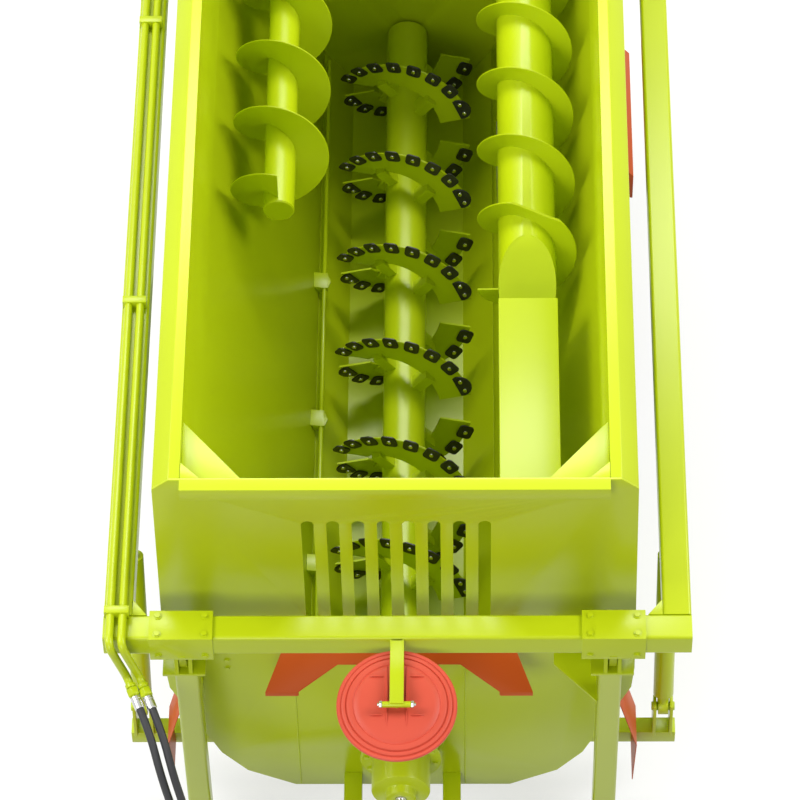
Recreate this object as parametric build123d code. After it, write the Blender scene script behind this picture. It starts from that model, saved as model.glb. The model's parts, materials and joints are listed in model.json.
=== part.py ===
from build123d import *
import math
import os

os.makedirs("parts", exist_ok=True)

# Three-auger self-loading feed mixer wagon, in millimetres
# Frame: X to the right-hand side as seen from the front, Y to the rear, Z up
# Origin: on the ground, in the middle of the overall length and width

# Driving dimensions: overall layout
FRONT_OVERHANG = 1500.0      # front wall to the tip of the drawbar eye
REAR_OVERHANG = 900.0        # rear wall to the back of the loader hood
TUB_LENGTH = 4100.0
RIM_Z = 2640.0
BOOM_HALF_WIDTH = 1225.0     # half of the 2.45 m overall width
FRONT_Y = FRONT_OVERHANG - (FRONT_OVERHANG + TUB_LENGTH + REAR_OVERHANG) / 2
REAR_Y = FRONT_Y + TUB_LENGTH
EYE_TIP_Y = FRONT_Y - FRONT_OVERHANG
TAIL_Y = REAR_Y + REAR_OVERHANG
FIT = 0.3                    # seat clearance between pieces of different bodies

# Square tubes of the loader boom
BEAM = 120.0
TUBE_WALL = 8.0
TUBE_ROUND = 14.0            # outer corner radius of the square tubes
BEAM_GAP = 140.0             # front wall to the back of the front beam
BEAM_Z = 1815.0              # centre of the beam and of the side rails
BEAM_Y = FRONT_Y - BEAM_GAP - BEAM / 2
RAIL_X = BOOM_HALF_WIDTH - BEAM / 2
SIDE_GAP = 117.0             # rail to the outer face of the tub's rim

# Tub walls, all between the rails
WALL = 8.0
FLOOR = 10.0
RIM_FLAT = 45.0
RIM_FLANGE = 71.0            # sloping outer part of the rim
RIM_DROP = 65.0
RIM_DEPTH = 120.0
RIM_OUTER_HALF = BOOM_HALF_WIDTH - BEAM - SIDE_GAP
INNER_HALF = RIM_OUTER_HALF - RIM_FLAT - RIM_FLANGE
VERTICAL_TO_Z = 1680.0       # where the upright wall turns into the slope
FLOOR_Z = 412.0              # inner face of the trough floor
RIB_COUNT = 6
RIB_WIDTH = 90.0
RIB_FOOT_Z = 1520.0

# Augers
LOWER_TUBE_R = 98.0
LOWER_FLIGHT_R = 320.0
KNIFE_REACH = 25.0           # how far a knife stands out past the flight's rim
FLOOR_GAP = 14.0             # knife tips to the trough floor
LOWER_Z = FLOOR_Z + FLOOR_GAP + LOWER_FLIGHT_R + KNIFE_REACH
UPPER_SIDE_GAP = 82.0        # upper flights to the side walls
UPPER_FLIGHT_R = 225.0
UPPER_HALF = INNER_HALF - UPPER_SIDE_GAP - UPPER_FLIGHT_R
UPPER_Z = 1600.0
UPPER_PITCH = 405.0
LEFT_TUBE_R = 72.0
RIGHT_TUBE_R = 130.0
LEFT_LENGTH = 0.444 * TUB_LENGTH     # rear wall to the free end
RIGHT_LENGTH = 0.590 * TUB_LENGTH
RIGHT_CUT = 350.0            # length of the slanting cut at the right tube's front end
FLIGHT_T = 8.0
AUGER_WALL = 12.0
SECTORS = 10                 # flat facets in one turn of a flight
END_GAP = 12.0               # running gap between a rotor and the end walls

# Trough around the lower auger
SHOULDER_HALF = LOWER_FLIGHT_R + KNIFE_REACH + 70.0
SHOULDER_Z = FLOOR_Z + 220.0
FLOOR_HALF = SHOULDER_HALF - 140.0

# End walls
END_PLATE = 10.0
END_OUTLINE = [(INNER_HALF + 138.0, 1250.0), (INNER_HALF + 128.0, 1100.0), (INNER_HALF - 72.0, 570.0),
               (INNER_HALF - 182.0, 420.0)]
END_BOTTOM_HALF = INNER_HALF - 392.0
END_BOTTOM_Z = FLOOR_Z - 112.0
SLOT_COUNT = 8
SLOT_WIDTH = 52.0
SLOT_PITCH = 104.0
SLOT_TOP_Z = RIM_Z - 290.0
SLOT_HEIGHT = 720.0
PANEL_EDGE = 40.0            # sheet left round the outermost slots

# Loader hinge
PIVOT_DROP = 130.0           # beam centre to hinge pin centre
PIVOT_Z = BEAM_Z - PIVOT_DROP
PIVOT_R = 25.0
LUG_X = INNER_HALF + 28.0
LUG_T = 30.0
CHEEK_T = 16.0
CHEEK_GAP = 6.0

# Milling drum
DRUM_R = 210.0
TINE = 60.0
DRUM_Y = TAIL_Y - DRUM_R - TINE
DRUM_Z = BEAM_Z - 60.0
DRUM_HALF = BOOM_HALF_WIDTH - 275.0

# Columns and chassis
COLUMN = 100.0
COLUMN_X = INNER_HALF + 18.0
CHASSIS_X = 220.0
CHASSIS_W = 80.0
CHASSIS_H = 90.0
CHASSIS_TOP_Z = FLOOR_Z - FLOOR

# Wheels
WHEEL_R = 400.0
TYRE_W = 300.0
TYRE_X = INNER_HALF - 12.0
WHEEL_Y = FRONT_Y + 0.56 * TUB_LENGTH
RIM_R = 210.0
HUB_R = 75.0


def box(x0, x1, y0, y1, z0, z1):
    """A block between two corners."""
    size = (abs(x1 - x0), abs(y1 - y0), abs(z1 - z0))
    middle = ((x0 + x1) / 2, (y0 + y1) / 2, (z0 + z1) / 2)
    return Pos(*middle) * Box(*size)


def prism_y(points, y0, y1):
    """An outline of (x, z) points, extruded along Y."""
    plane = Plane(origin=(0, y0, 0), x_dir=(1, 0, 0), z_dir=(0, -1, 0))
    face = plane * make_face(Polyline([(x, z) for x, z in points], close=True))
    return extrude(face, amount=-(y1 - y0))


def prism_x(points, x0, x1):
    """An outline of (y, z) points, extruded along X."""
    plane = Plane(origin=(x0, 0, 0), x_dir=(0, 1, 0), z_dir=(1, 0, 0))
    face = plane * make_face(Polyline([(y, z) for y, z in points], close=True))
    return extrude(face, amount=x1 - x0)


def prism_z(points, z0, z1):
    """An outline of (x, y) points, extruded along Z."""
    face = Pos(0, 0, z0) * make_face(Polyline(list(points), close=True))
    return extrude(face, amount=z1 - z0)


def rod(start, end, radius):
    """A round bar between two points."""
    a = Vector(*start)
    b = Vector(*end)
    plane = Plane(origin=a, z_dir=(b - a).normalized())
    return extrude(plane * Circle(radius), amount=(b - a).length)


def tube(start, end, radius, bore):
    return rod(start, end, radius) - rod(start, end, bore)


def square_tube(x0, x1, y0, y1, z0, z1, wall, along):
    """A hollow section with rounded edges between two corners, open at its ends."""
    middle = ((x0 + x1) / 2, (y0 + y1) / 2, (z0 + z1) / 2)
    size = {"x": (y1 - y0, z1 - z0, x1 - x0), "y": (x1 - x0, z1 - z0, y1 - y0),
            "z": (x1 - x0, y1 - y0, z1 - z0)}[along]
    side = {"x": (0, 1, 0), "y": (1, 0, 0), "z": (1, 0, 0)}[along]
    normal = {"x": (1, 0, 0), "y": (0, -1, 0), "z": (0, 0, 1)}[along]
    plane = Plane(origin=middle, x_dir=side, z_dir=normal)
    outer = RectangleRounded(size[0], size[1], TUBE_ROUND)
    inner = Rectangle(size[0] - 2 * wall, size[1] - 2 * wall)
    return extrude(plane * (outer - inner), amount=size[2] / 2, both=True)


def drum_tube(y0, y1, radius, wall):
    """A hollow tube about the Y axis with vented end discs."""
    inner = rod((0, y0 + wall, 0), (0, y1 - wall, 0), radius - wall)
    vent = rod((radius / 2, y0 - 1, 0), (radius / 2, y0 + wall + 1, 0), 8)
    return rod((0, y0, 0), (0, y1, 0), radius) - inner - vent


def mirror_x(shape):
    return mirror(shape, about=Plane.YZ)


def save(shape, node):
    export_step(shape, f"parts/{node}.step")


# Tub side walls with the folded rim and the outer ribs
def wall_strip(points, thickness, y0, y1):
    """A folded sheet: (x, z) points of its inner face, thickened outward to +x or down."""
    outer = []
    for i, (x, z) in enumerate(points):
        before = points[max(i - 1, 0)]
        after = points[min(i + 1, len(points) - 1)]
        normals = []
        for (xa, za), (xb, zb) in ((before, (x, z)), ((x, z), after)):
            length = math.hypot(xb - xa, zb - za)
            if length > 0:
                normals.append(((zb - za) / length, -(xb - xa) / length))
        nx = sum(n[0] for n in normals) / len(normals)
        nz = sum(n[1] for n in normals) / len(normals)
        scale = thickness / (nx * nx + nz * nz)
        outer.append((x + nx * scale, z + nz * scale))
    return prism_y(points + outer[::-1], y0, y1)


SLOPE = math.hypot(INNER_HALF - SHOULDER_HALF, VERTICAL_TO_Z - SHOULDER_Z)
SIDE_Y0 = FRONT_Y + END_PLATE
SIDE_Y1 = REAR_Y - END_PLATE


def side_wall():
    """Right-hand side: sheet from the shoulder up to the rim, rim box and ribs."""
    sheet = wall_strip(
        [(SHOULDER_HALF, SHOULDER_Z), (INNER_HALF, VERTICAL_TO_Z), (INNER_HALF, RIM_Z - RIM_DEPTH)],
        WALL, SIDE_Y0, SIDE_Y1)
    flat_x = INNER_HALF + RIM_FLAT
    rim = prism_y(
        [(INNER_HALF, RIM_Z - RIM_DEPTH), (INNER_HALF, RIM_Z), (flat_x, RIM_Z),
         (RIM_OUTER_HALF, RIM_Z - RIM_DROP), (RIM_OUTER_HALF, RIM_Z - RIM_DEPTH)],
        SIDE_Y0, SIDE_Y1)
    hollow = prism_y(
        [(INNER_HALF + WALL, RIM_Z - RIM_DEPTH), (INNER_HALF + WALL, RIM_Z - WALL),
         (flat_x - WALL / 2, RIM_Z - WALL), (RIM_OUTER_HALF - WALL, RIM_Z - RIM_DROP - WALL / 2),
         (RIM_OUTER_HALF - WALL, RIM_Z - RIM_DEPTH)],
        SIDE_Y0, SIDE_Y1)
    parts = [sheet, rim - hollow]
    pitch = (SIDE_Y1 - SIDE_Y0) / RIB_COUNT
    for i in range(RIB_COUNT):
        middle = SIDE_Y0 + pitch * (i + 0.5)
        parts.append(rib(middle))
    return parts


def rib(middle):
    """Upright pressed rib from the rim down to where the slope starts."""
    top = RIM_Z - RIM_DEPTH
    face = INNER_HALF + WALL
    foot_x = SHOULDER_HALF + (RIB_FOOT_Z - SHOULDER_Z) * (INNER_HALF - SHOULDER_HALF) / (
        VERTICAL_TO_Z - SHOULDER_Z)
    lift = WALL * SLOPE / (VERTICAL_TO_Z - SHOULDER_Z)
    knee = VERTICAL_TO_Z
    return prism_y(
        [(face, top), (face, knee), (foot_x + lift, RIB_FOOT_Z), (foot_x + lift + 30, RIB_FOOT_Z),
         (RIM_OUTER_HALF - 20, knee + 20), (RIM_OUTER_HALF - 20, top)],
        middle - RIB_WIDTH / 2, middle + RIB_WIDTH / 2)


right_wall = side_wall()
left_wall = [mirror_x(p) for p in right_wall]

# Discharge opening in the right wall's slope, far back
DOOR_MID = FRONT_Y + 0.80 * TUB_LENGTH
DOOR_WIDTH = 610.0
DOOR_Y0 = DOOR_MID - DOOR_WIDTH / 2
DOOR_Y1 = DOOR_MID + DOOR_WIDTH / 2
DOOR_LOW = 0.04               # share of the slope where the opening starts
DOOR_HIGH = 0.36
SLOPE_DX = (INNER_HALF - SHOULDER_HALF) / SLOPE
SLOPE_DZ = (VERTICAL_TO_Z - SHOULDER_Z) / SLOPE


def slope_point(along, out):
    """Point on the right slope: distance up the slope and outward from its inner face."""
    return (SHOULDER_HALF + along * SLOPE_DX + out * SLOPE_DZ,
            SHOULDER_Z + along * SLOPE_DZ - out * SLOPE_DX)


def slope_slab(along0, along1, out0, out1, y0, y1):
    return prism_y(
        [slope_point(along0, out0), slope_point(along1, out0),
         slope_point(along1, out1), slope_point(along0, out1)], y0, y1)


opening = slope_slab(DOOR_LOW * SLOPE, DOOR_HIGH * SLOPE, -60, 120, DOOR_Y0, DOOR_Y1)
right_solid = Part() + right_wall
right_solid = right_solid - opening
left_solid = Part() + left_wall
save(right_solid, "tub_right_wall")
save(left_solid, "tub_left_wall")

# Trough floor: folded plate under the lower auger
floor_inner = [(-SHOULDER_HALF, SHOULDER_Z), (-FLOOR_HALF, FLOOR_Z), (FLOOR_HALF, FLOOR_Z),
               (SHOULDER_HALF, SHOULDER_Z)]
floor_fold = FLOOR * 0.5
floor_outer = [(SHOULDER_HALF + WALL * SLOPE_DZ, SHOULDER_Z - WALL * SLOPE_DX),
               (FLOOR_HALF + floor_fold, FLOOR_Z - FLOOR),
               (-FLOOR_HALF - floor_fold, FLOOR_Z - FLOOR),
               (-SHOULDER_HALF - WALL * SLOPE_DZ, SHOULDER_Z - WALL * SLOPE_DX)]
trough = prism_y(floor_inner + floor_outer, SIDE_Y0, SIDE_Y1)
save(trough, "trough_floor")


# Front and rear end walls, and the slotted view panel welded into the front one
def end_wall(y0, y1):
    right = [(RIM_OUTER_HALF, RIM_Z - RIM_DROP)] + END_OUTLINE
    left = [(-x, z) for x, z in right[::-1]]
    top = [(INNER_HALF + RIM_FLAT, RIM_Z)]
    bottom = [(END_BOTTOM_HALF, END_BOTTOM_Z), (-END_BOTTOM_HALF, END_BOTTOM_Z)]
    outline = [(-top[0][0], RIM_Z), top[0]] + right + bottom + left
    return prism_y(outline, y0, y1)


front_wall = end_wall(FRONT_Y, FRONT_Y + END_PLATE)
slot = Pos(0, FRONT_Y, SLOT_TOP_Z - SLOT_HEIGHT / 2) * Rot(90, 0, 0) * extrude(
    SlotOverall(SLOT_HEIGHT, SLOT_WIDTH, rotation=90), amount=60, both=True)
PANEL_HALF = (SLOT_COUNT - 1) / 2 * SLOT_PITCH + SLOT_WIDTH / 2 + PANEL_EDGE
panel_z0 = SLOT_TOP_Z - SLOT_HEIGHT - PANEL_EDGE
panel_z1 = SLOT_TOP_Z + PANEL_EDGE
view_panel = box(-PANEL_HALF, PANEL_HALF, FRONT_Y, FRONT_Y + END_PLATE, panel_z0, panel_z1)
front_wall -= view_panel
for i in range(SLOT_COUNT):
    view_panel -= Pos((i - (SLOT_COUNT - 1) / 2) * SLOT_PITCH, 0, 0) * slot
save(view_panel, "view_panel")
front_rim = box(-INNER_HALF, INNER_HALF, FRONT_Y - 50, FRONT_Y, RIM_Z - 70, RIM_Z)
LOWER_BOSS_R = 150.0
front_boss = rod((0, FRONT_Y, LOWER_Z), (0, FRONT_Y - 40, LOWER_Z), LOWER_BOSS_R)
lower_hole = rod((0, FRONT_Y - 80, LOWER_Z), (0, FRONT_Y + 40, LOWER_Z), 45.0)
front_solid = (front_wall + front_rim + front_boss) - lower_hole
save(front_solid, "tub_front_wall")

rear_wall = end_wall(REAR_Y - END_PLATE, REAR_Y)
rear_rim = box(-INNER_HALF, INNER_HALF, REAR_Y, REAR_Y + 50, RIM_Z - 70, RIM_Z)
SHAFT_R = 40.0
rear_holes = [rod((x, REAR_Y - 60, z), (x, REAR_Y + 60, z), SHAFT_R + 5)
              for x, z in ((0, LOWER_Z), (-UPPER_HALF, UPPER_Z), (UPPER_HALF, UPPER_Z))]
rear_solid = (rear_wall + rear_rim)
for hole in rear_holes:
    rear_solid -= hole
save(rear_solid, "tub_rear_wall")

# Corner ties and the sloped deflector plates inside the front corners
TIE = 85.0
DEFLECT_X = 280.0
DEFLECT_Y = 330.0
DEFLECT_DROP = 760.0


def corner_plates(side):
    """Diagonal rim tie and the triangular deflector below it, in one front corner."""
    x = side * (INNER_HALF - FIT)
    y = FRONT_Y + END_PLATE + FIT
    tie = prism_z([(x, y), (x - side * TIE, y), (x, y + TIE)], RIM_Z - 14, RIM_Z - 4)
    top = RIM_Z - 60
    a = Vector(x, y + DEFLECT_Y, top)
    b = Vector(x - side * DEFLECT_X, y, top)
    c = Vector(x, y, top)
    d = Vector(x, y, top - DEFLECT_DROP)
    shell = Solid(Shell([Face(Wire.make_polygon([p, q, r], close=True))
                         for p, q, r in ((a, b, c), (a, c, d), (b, c, d), (a, b, d))]))
    return [tie, shell]


corner = Part() + [piece for side in (-1, 1) for piece in corner_plates(side)]
save(corner, "corner_deflectors")

# Counter knives on the left edge of the trough
COUNTER_Y = [FRONT_Y + share * TUB_LENGTH for share in (0.23, 0.43, 0.63)]
COUNTER_X = SHOULDER_HALF - 22.0


def counter_knife(y):
    """Bracket on the left slope and a flat triangular blade that points at the auger."""
    z = SHOULDER_Z + 32
    foot = prism_y([slope_point(12, -FIT), slope_point(60, -FIT), (COUNTER_X - 10, z + 16), (COUNTER_X - 20, z + 16),
                    (COUNTER_X - 20, z - 6)], y - 45, y + 45)
    blade = prism_z([(COUNTER_X - 20, y - 40), (COUNTER_X - 20, y + 40), (COUNTER_X - 34, y)], z, z + 8)
    return mirror_x(foot + blade)


counter_bar = rod((-COUNTER_X + 4, SIDE_Y0 + 100, SHOULDER_Z + 34), (-COUNTER_X + 4, SIDE_Y1 - 100, SHOULDER_Z + 34), 11)
counter = Part() + [counter_bar] + [counter_knife(y) for y in COUNTER_Y]
save(counter, "counter_knives")


# Augers: tubes with faceted helical flights
def flight(inner, outer, y_start, turns, pitch, start_deg, hand=1, thickness=FLIGHT_T):
    """A helical band about the Y axis, as one closed solid of flat facets."""
    steps = max(2, round(abs(turns) * SECTORS))
    rings = []
    for i in range(steps + 1):
        share = turns * i / steps
        angle = math.radians(start_deg + hand * 360.0 * share)
        y = y_start + pitch * share
        ring = []
        for radius, dy in ((inner, 0), (outer, 0), (outer, thickness), (inner, thickness)):
            ring.append(Vector(radius * math.cos(angle), y + dy, radius * math.sin(angle)))
        rings.append(ring)
    faces = [Face(Wire.make_polygon(rings[0], close=True)), Face(Wire.make_polygon(rings[-1], close=True))]
    for a, b in zip(rings, rings[1:]):
        for j in range(4):
            k = (j + 1) % 4
            for corners in ((a[j], a[k], b[k]), (a[j], b[k], b[j])):
                faces.append(Face(Wire.make_polygon(list(corners), close=True)))
    return Solid(Shell(faces))


def auger(tube_r, y0, y1, shaft_to, flights):
    body = drum_tube(y0, y1, tube_r, AUGER_WALL) + rod((0, y1, 0), (0, shaft_to, 0), SHAFT_R)
    for solid in flights:
        body = body + solid
    return body


upper_end = REAR_Y - END_PLATE - END_GAP
upper_shaft_to = REAR_Y + 70.0
left_start = upper_end - LEFT_LENGTH
left_turns = (LEFT_LENGTH - 90) / UPPER_PITCH
left_auger = auger(LEFT_TUBE_R, left_start, upper_end, upper_shaft_to,
                   [flight(LEFT_TUBE_R - 5, UPPER_FLIGHT_R, left_start + 20, left_turns, UPPER_PITCH, 90)])
left_auger = Pos(-UPPER_HALF, 0, UPPER_Z) * left_auger
save(left_auger, "upper_left_auger")

right_start = upper_end - RIGHT_LENGTH
right_turns = (RIGHT_LENGTH - 120) / UPPER_PITCH


def front_cut(shift):
    """Wedge that slants the right tube's front end, from its top down to the cover."""
    return prism_x([(right_start - 1 + shift, RIGHT_TUBE_R + 1), (right_start + RIGHT_CUT + shift, RIGHT_TUBE_R + 1),
                    (right_start - 1 + shift, -RIGHT_TUBE_R + 20)], -RIGHT_TUBE_R - 1, RIGHT_TUBE_R + 1)


right_flight = flight(RIGHT_TUBE_R - 5, UPPER_FLIGHT_R, right_start + 40, right_turns, UPPER_PITCH, 90)
right_hollow = rod((0, right_start + AUGER_WALL, 0), (0, upper_end - AUGER_WALL, 0), RIGHT_TUBE_R - AUGER_WALL)
right_vent = rod((RIGHT_TUBE_R / 2, upper_end - AUGER_WALL - 1, 0), (RIGHT_TUBE_R / 2, upper_end + 1, 0), 8)
right_auger = rod((0, right_start, 0), (0, upper_end, 0), RIGHT_TUBE_R) + right_flight - front_cut(0)
right_auger = right_auger - (right_hollow - front_cut(25)) - right_vent
right_auger += rod((0, upper_end, 0), (0, upper_shaft_to, 0), SHAFT_R)
right_auger = Pos(UPPER_HALF, 0, UPPER_Z) * right_auger
save(right_auger, "upper_right_auger")

# Fixed cover in front of the right auger, from its end to the front wall
COVER_GAP = 10.0
COVER_HALF = 132.0
cover_y1 = right_start - COVER_GAP
cover_top = UPPER_Z + RIGHT_TUBE_R
cover = box(UPPER_HALF - COVER_HALF, UPPER_HALF + COVER_HALF, FRONT_Y + END_PLATE, cover_y1,
            UPPER_Z - COVER_HALF, cover_top)
cover -= box(UPPER_HALF - COVER_HALF + WALL, UPPER_HALF + COVER_HALF - WALL, FRONT_Y, cover_y1 - WALL,
             UPPER_Z - COVER_HALF + WALL, cover_top - WALL)
save(cover, "auger_cover")

# Lower knife auger
LOWER_TURNS = 7.0
lower_y0 = FRONT_Y + END_PLATE + END_GAP
lower_y1 = REAR_Y - END_PLATE - END_GAP
lower_pitch = (lower_y1 - lower_y0 - 120) / LOWER_TURNS
lower_body = drum_tube(lower_y0, lower_y1, LOWER_TUBE_R, AUGER_WALL)
lower_body += rod((0, FRONT_Y - 60, 0), (0, lower_y0, 0), SHAFT_R)
lower_body += rod((0, lower_y1, 0), (0, REAR_Y + 70, 0), SHAFT_R)
SEGMENTS = 14
SEGMENT_SHARE = 0.42           # share of a turn that one segment covers
knives = []
KNIFE = 72.0
LEAD_KNIFE = 112.0             # the longer knife at the front of each segment
KNIFE_CUT = 18.0
KNIFE_T = 8.0
HELIX_DEG = math.degrees(math.atan(lower_pitch / (2 * math.pi * LOWER_FLIGHT_R)))
for i in range(SEGMENTS):
    y_seg = lower_y0 + 60 + lower_pitch * LOWER_TURNS * i / SEGMENTS
    start = 90.0 + 180.0 * i - 360 * SEGMENT_SHARE / 2
    segment = flight(LOWER_FLIGHT_R - 150, LOWER_FLIGHT_R, y_seg, SEGMENT_SHARE, lower_pitch, start, 1, 10)
    lower_body += segment
    for arm_share in (0.25, 0.75):
        angle = start + 360 * SEGMENT_SHARE * arm_share
        y_arm = y_seg + lower_pitch * SEGMENT_SHARE * arm_share + 5
        arm = Rot(0, -angle, 0) * box(LOWER_TUBE_R - 6, LOWER_FLIGHT_R - 120, y_arm - 35, y_arm + 35, -25, 25)
        lower_body += arm
    for knife_share in (0.08, 0.31, 0.52, 0.73, 0.94):
        angle = start + 360 * SEGMENT_SHARE * knife_share
        y_knife = y_seg + lower_pitch * SEGMENT_SHARE * knife_share
        half = LEAD_KNIFE / 2 if knife_share < 0.1 else KNIFE / 2
        tip = LOWER_FLIGHT_R + KNIFE_REACH
        root = tip - KNIFE
        blade = prism_y([(root, half - KNIFE_CUT), (root + KNIFE_CUT, half), (tip - KNIFE_CUT, half),
                         (tip, half - KNIFE_CUT), (tip, KNIFE_CUT - half), (tip - KNIFE_CUT, -half),
                         (root + KNIFE_CUT, -half), (root, KNIFE_CUT - half)], -KNIFE_T, 2)
        knives.append(Rot(0, -angle, 0) * Pos(0, y_knife, 0) * Rot(-HELIX_DEG, 0, 0) * blade)
knife_set = Part() + knives - lower_body
knife_set = Part() + [max(group, key=lambda s: s.volume) for group in
                      [[s for s in knife_set.solids() if (s.center() - k.center()).length < KNIFE / 2]
                       for k in knives]]
lower_body = Pos(0, 0, LOWER_Z) * lower_body
save(lower_body, "lower_auger")
save(Pos(0, 0, LOWER_Z) * knife_set, "auger_knives")

# Drives of the three augers on the rear wall
DRIVE_DEPTH = 110.0
drive_y0 = REAR_Y + 50 + FIT
drive_outline = [(-UPPER_HALF - 150, UPPER_Z + 150), (UPPER_HALF + 150, UPPER_Z + 150),
                 (UPPER_HALF + 150, UPPER_Z - 150), (190, LOWER_Z - 190), (-190, LOWER_Z - 190),
                 (-UPPER_HALF - 150, UPPER_Z - 150)]
drive = prism_y(drive_outline, REAR_Y, REAR_Y + DRIVE_DEPTH)
for x, z in ((0, LOWER_Z), (-UPPER_HALF, UPPER_Z), (UPPER_HALF, UPPER_Z)):
    drive -= rod((x, REAR_Y - 1, z), (x, REAR_Y + DRIVE_DEPTH - 12, z), SHAFT_R + 0.05)
drive -= prism_y([(x * 0.93, z - 30 if z > UPPER_Z else z + 25) for x, z in drive_outline], REAR_Y - 1,
                 REAR_Y + DRIVE_DEPTH - 12)
for x, z in ((0, LOWER_Z), (-UPPER_HALF, UPPER_Z), (UPPER_HALF, UPPER_Z)):
    drive += tube((x, REAR_Y, z), (x, REAR_Y + DRIVE_DEPTH - 12, z), 80, SHAFT_R + 0.05)
save(drive, "auger_drive_case")

# Loader boom: two side rails, the front beam, gussets, saddles and hinge lugs
beam_z0 = BEAM_Z - BEAM / 2
beam_z1 = BEAM_Z + BEAM / 2
rail_in = BOOM_HALF_WIDTH - BEAM
rail_y1 = DRUM_Y + 60
SADDLE = 265.0
SADDLE_T = 12.0
boom = square_tube(-BOOM_HALF_WIDTH, BOOM_HALF_WIDTH, BEAM_Y - BEAM / 2, BEAM_Y + BEAM / 2,
                   beam_z0, beam_z1, TUBE_WALL, "x")
PIVOT_Y = BEAM_Y
for side in (-1, 1):
    rail = square_tube(rail_in, BOOM_HALF_WIDTH, BEAM_Y + BEAM / 2, rail_y1, beam_z0, beam_z1, TUBE_WALL, "y")
    gusset = prism_z([(rail_in, BEAM_Y + BEAM / 2), (rail_in - 60, BEAM_Y + BEAM / 2),
                      (rail_in, BEAM_Y + BEAM / 2 + 75)], beam_z1 - 14, beam_z1 - 2)
    cap = box(BOOM_HALF_WIDTH - TUBE_WALL, BOOM_HALF_WIDTH, BEAM_Y - BEAM / 2 + TUBE_WALL,
              BEAM_Y + BEAM / 2 - TUBE_WALL, beam_z0 + TUBE_WALL, beam_z1 - TUBE_WALL)
    top = box(LUG_X - SADDLE / 2, LUG_X + SADDLE / 2, BEAM_Y - BEAM / 2 - SADDLE_T,
              BEAM_Y + BEAM / 2 + SADDLE_T, beam_z1, beam_z1 + SADDLE_T)
    front = box(LUG_X - SADDLE / 2, LUG_X + SADDLE / 2, BEAM_Y - BEAM / 2 - SADDLE_T,
                BEAM_Y - BEAM / 2, beam_z0 - 20, beam_z1 + SADDLE_T)
    lug = prism_x([(PIVOT_Y - 75, beam_z0), (PIVOT_Y + 75, beam_z0), (PIVOT_Y + 45, PIVOT_Z - 45),
                   (PIVOT_Y - 45, PIVOT_Z - 45)], LUG_X - LUG_T / 2, LUG_X + LUG_T / 2)
    lug -= rod((LUG_X - LUG_T, PIVOT_Y, PIVOT_Z), (LUG_X + LUG_T, PIVOT_Y, PIVOT_Z), PIVOT_R + 0.05)
    for piece in (rail, gusset, cap, top, front, lug):
        boom += piece if side > 0 else mirror_x(piece)

# Lift cylinder geometry under the rails
LIFT_ARM = 800.0              # pivot to rod eye, along the rail
LIFT_FOOT_RISE = 158.0        # outrigger's top to the foot eye
LIFT_BASE = (BEAM_Y + 460.0, CHASSIS_TOP_Z - 20 + LIFT_FOOT_RISE)
EYE_Z = BEAM_Z - BEAM / 2 - 85.0
EYE_Y = PIVOT_Y + LIFT_ARM
EYE_R = 38.0
EYE_HALF = 22.0
EAR_T = 14.0
for side in (-1, 1):
    for inner_x in (RAIL_X - EYE_HALF - 8 - EAR_T, RAIL_X + EYE_HALF + 8):
        ear = prism_x([(EYE_Y - 110, beam_z0), (EYE_Y + 110, beam_z0), (EYE_Y + 50, EYE_Z - 50),
                       (EYE_Y - 50, EYE_Z - 50)], inner_x, inner_x + EAR_T)
        boom += ear if side > 0 else mirror_x(ear)

# Drum hood over the milling drum
DRUM_PLATE = 16.0
PLATE_X = DRUM_HALF + 10
HOOD_T = 6.0
HOOD_R = DRUM_R + TINE + 25


def hood_point(angle, radius):
    return (DRUM_Y + radius * math.cos(math.radians(angle)), DRUM_Z + radius * math.sin(math.radians(angle)))


hood_angles = [30, 55, 80, 105, 130]
hood_profile = [hood_point(a, HOOD_R) for a in hood_angles]
hood_profile += [hood_point(a, HOOD_R + HOOD_T) for a in hood_angles[::-1]]
hood = prism_x(hood_profile, -PLATE_X, PLATE_X)
save(hood, "drum_hood")

# Drum carrier: cross tube behind the hood and the two bearing plates
for side in (-1, 1):
    crown = [hood_point(a, HOOD_R + HOOD_T + 12) for a in hood_angles]
    plate = prism_x([(rail_y1 - 330, beam_z0 - 40), (rail_y1 - 330, beam_z1)] + crown[::-1]
                    + [(DRUM_Y + 150, DRUM_Z), (DRUM_Y + 80, DRUM_Z - 110), (DRUM_Y - 80, DRUM_Z - 110)],
                    PLATE_X, PLATE_X + DRUM_PLATE)
    plate -= rod((PLATE_X - 1, DRUM_Y, DRUM_Z), (PLATE_X + DRUM_PLATE + 1, DRUM_Y, DRUM_Z), 35.05)
    bridge = box(PLATE_X + DRUM_PLATE, rail_in, rail_y1 - 280, rail_y1 - 160, beam_z0 + 10, beam_z1 - 10)
    for piece in (plate, bridge):
        boom += piece if side > 0 else mirror_x(piece)
save(boom, "loader_boom")

# Milling drum with rows of tines
DRUM_TUBE_R = DRUM_R - 40
TINE_ROWS = 12
drum = Pos(0, DRUM_Y, DRUM_Z) * Rot(0, 0, -90) * drum_tube(-DRUM_HALF, DRUM_HALF, DRUM_TUBE_R, AUGER_WALL)
for x0, x1 in ((-PLATE_X - DRUM_PLATE - 30, -DRUM_HALF), (DRUM_HALF, PLATE_X + DRUM_PLATE + 30)):
    drum += rod((x0, DRUM_Y, DRUM_Z), (x1, DRUM_Y, DRUM_Z), 35.0)
for i in range(TINE_ROWS):
    x = -DRUM_HALF + 60 + (2 * DRUM_HALF - 120) * i / (TINE_ROWS - 1)
    for k in range(4):
        blade = prism_x([(DRUM_TUBE_R - 8, -45), (DRUM_R + TINE - 20, -20), (DRUM_R + TINE, 10),
                         (DRUM_TUBE_R - 8, 45)], x - 8, x + 8)
        drum += Pos(0, DRUM_Y, DRUM_Z) * Rot(90 * k + 30 * (i % 3), 0, 0) * blade
save(drum, "milling_drum")

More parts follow.
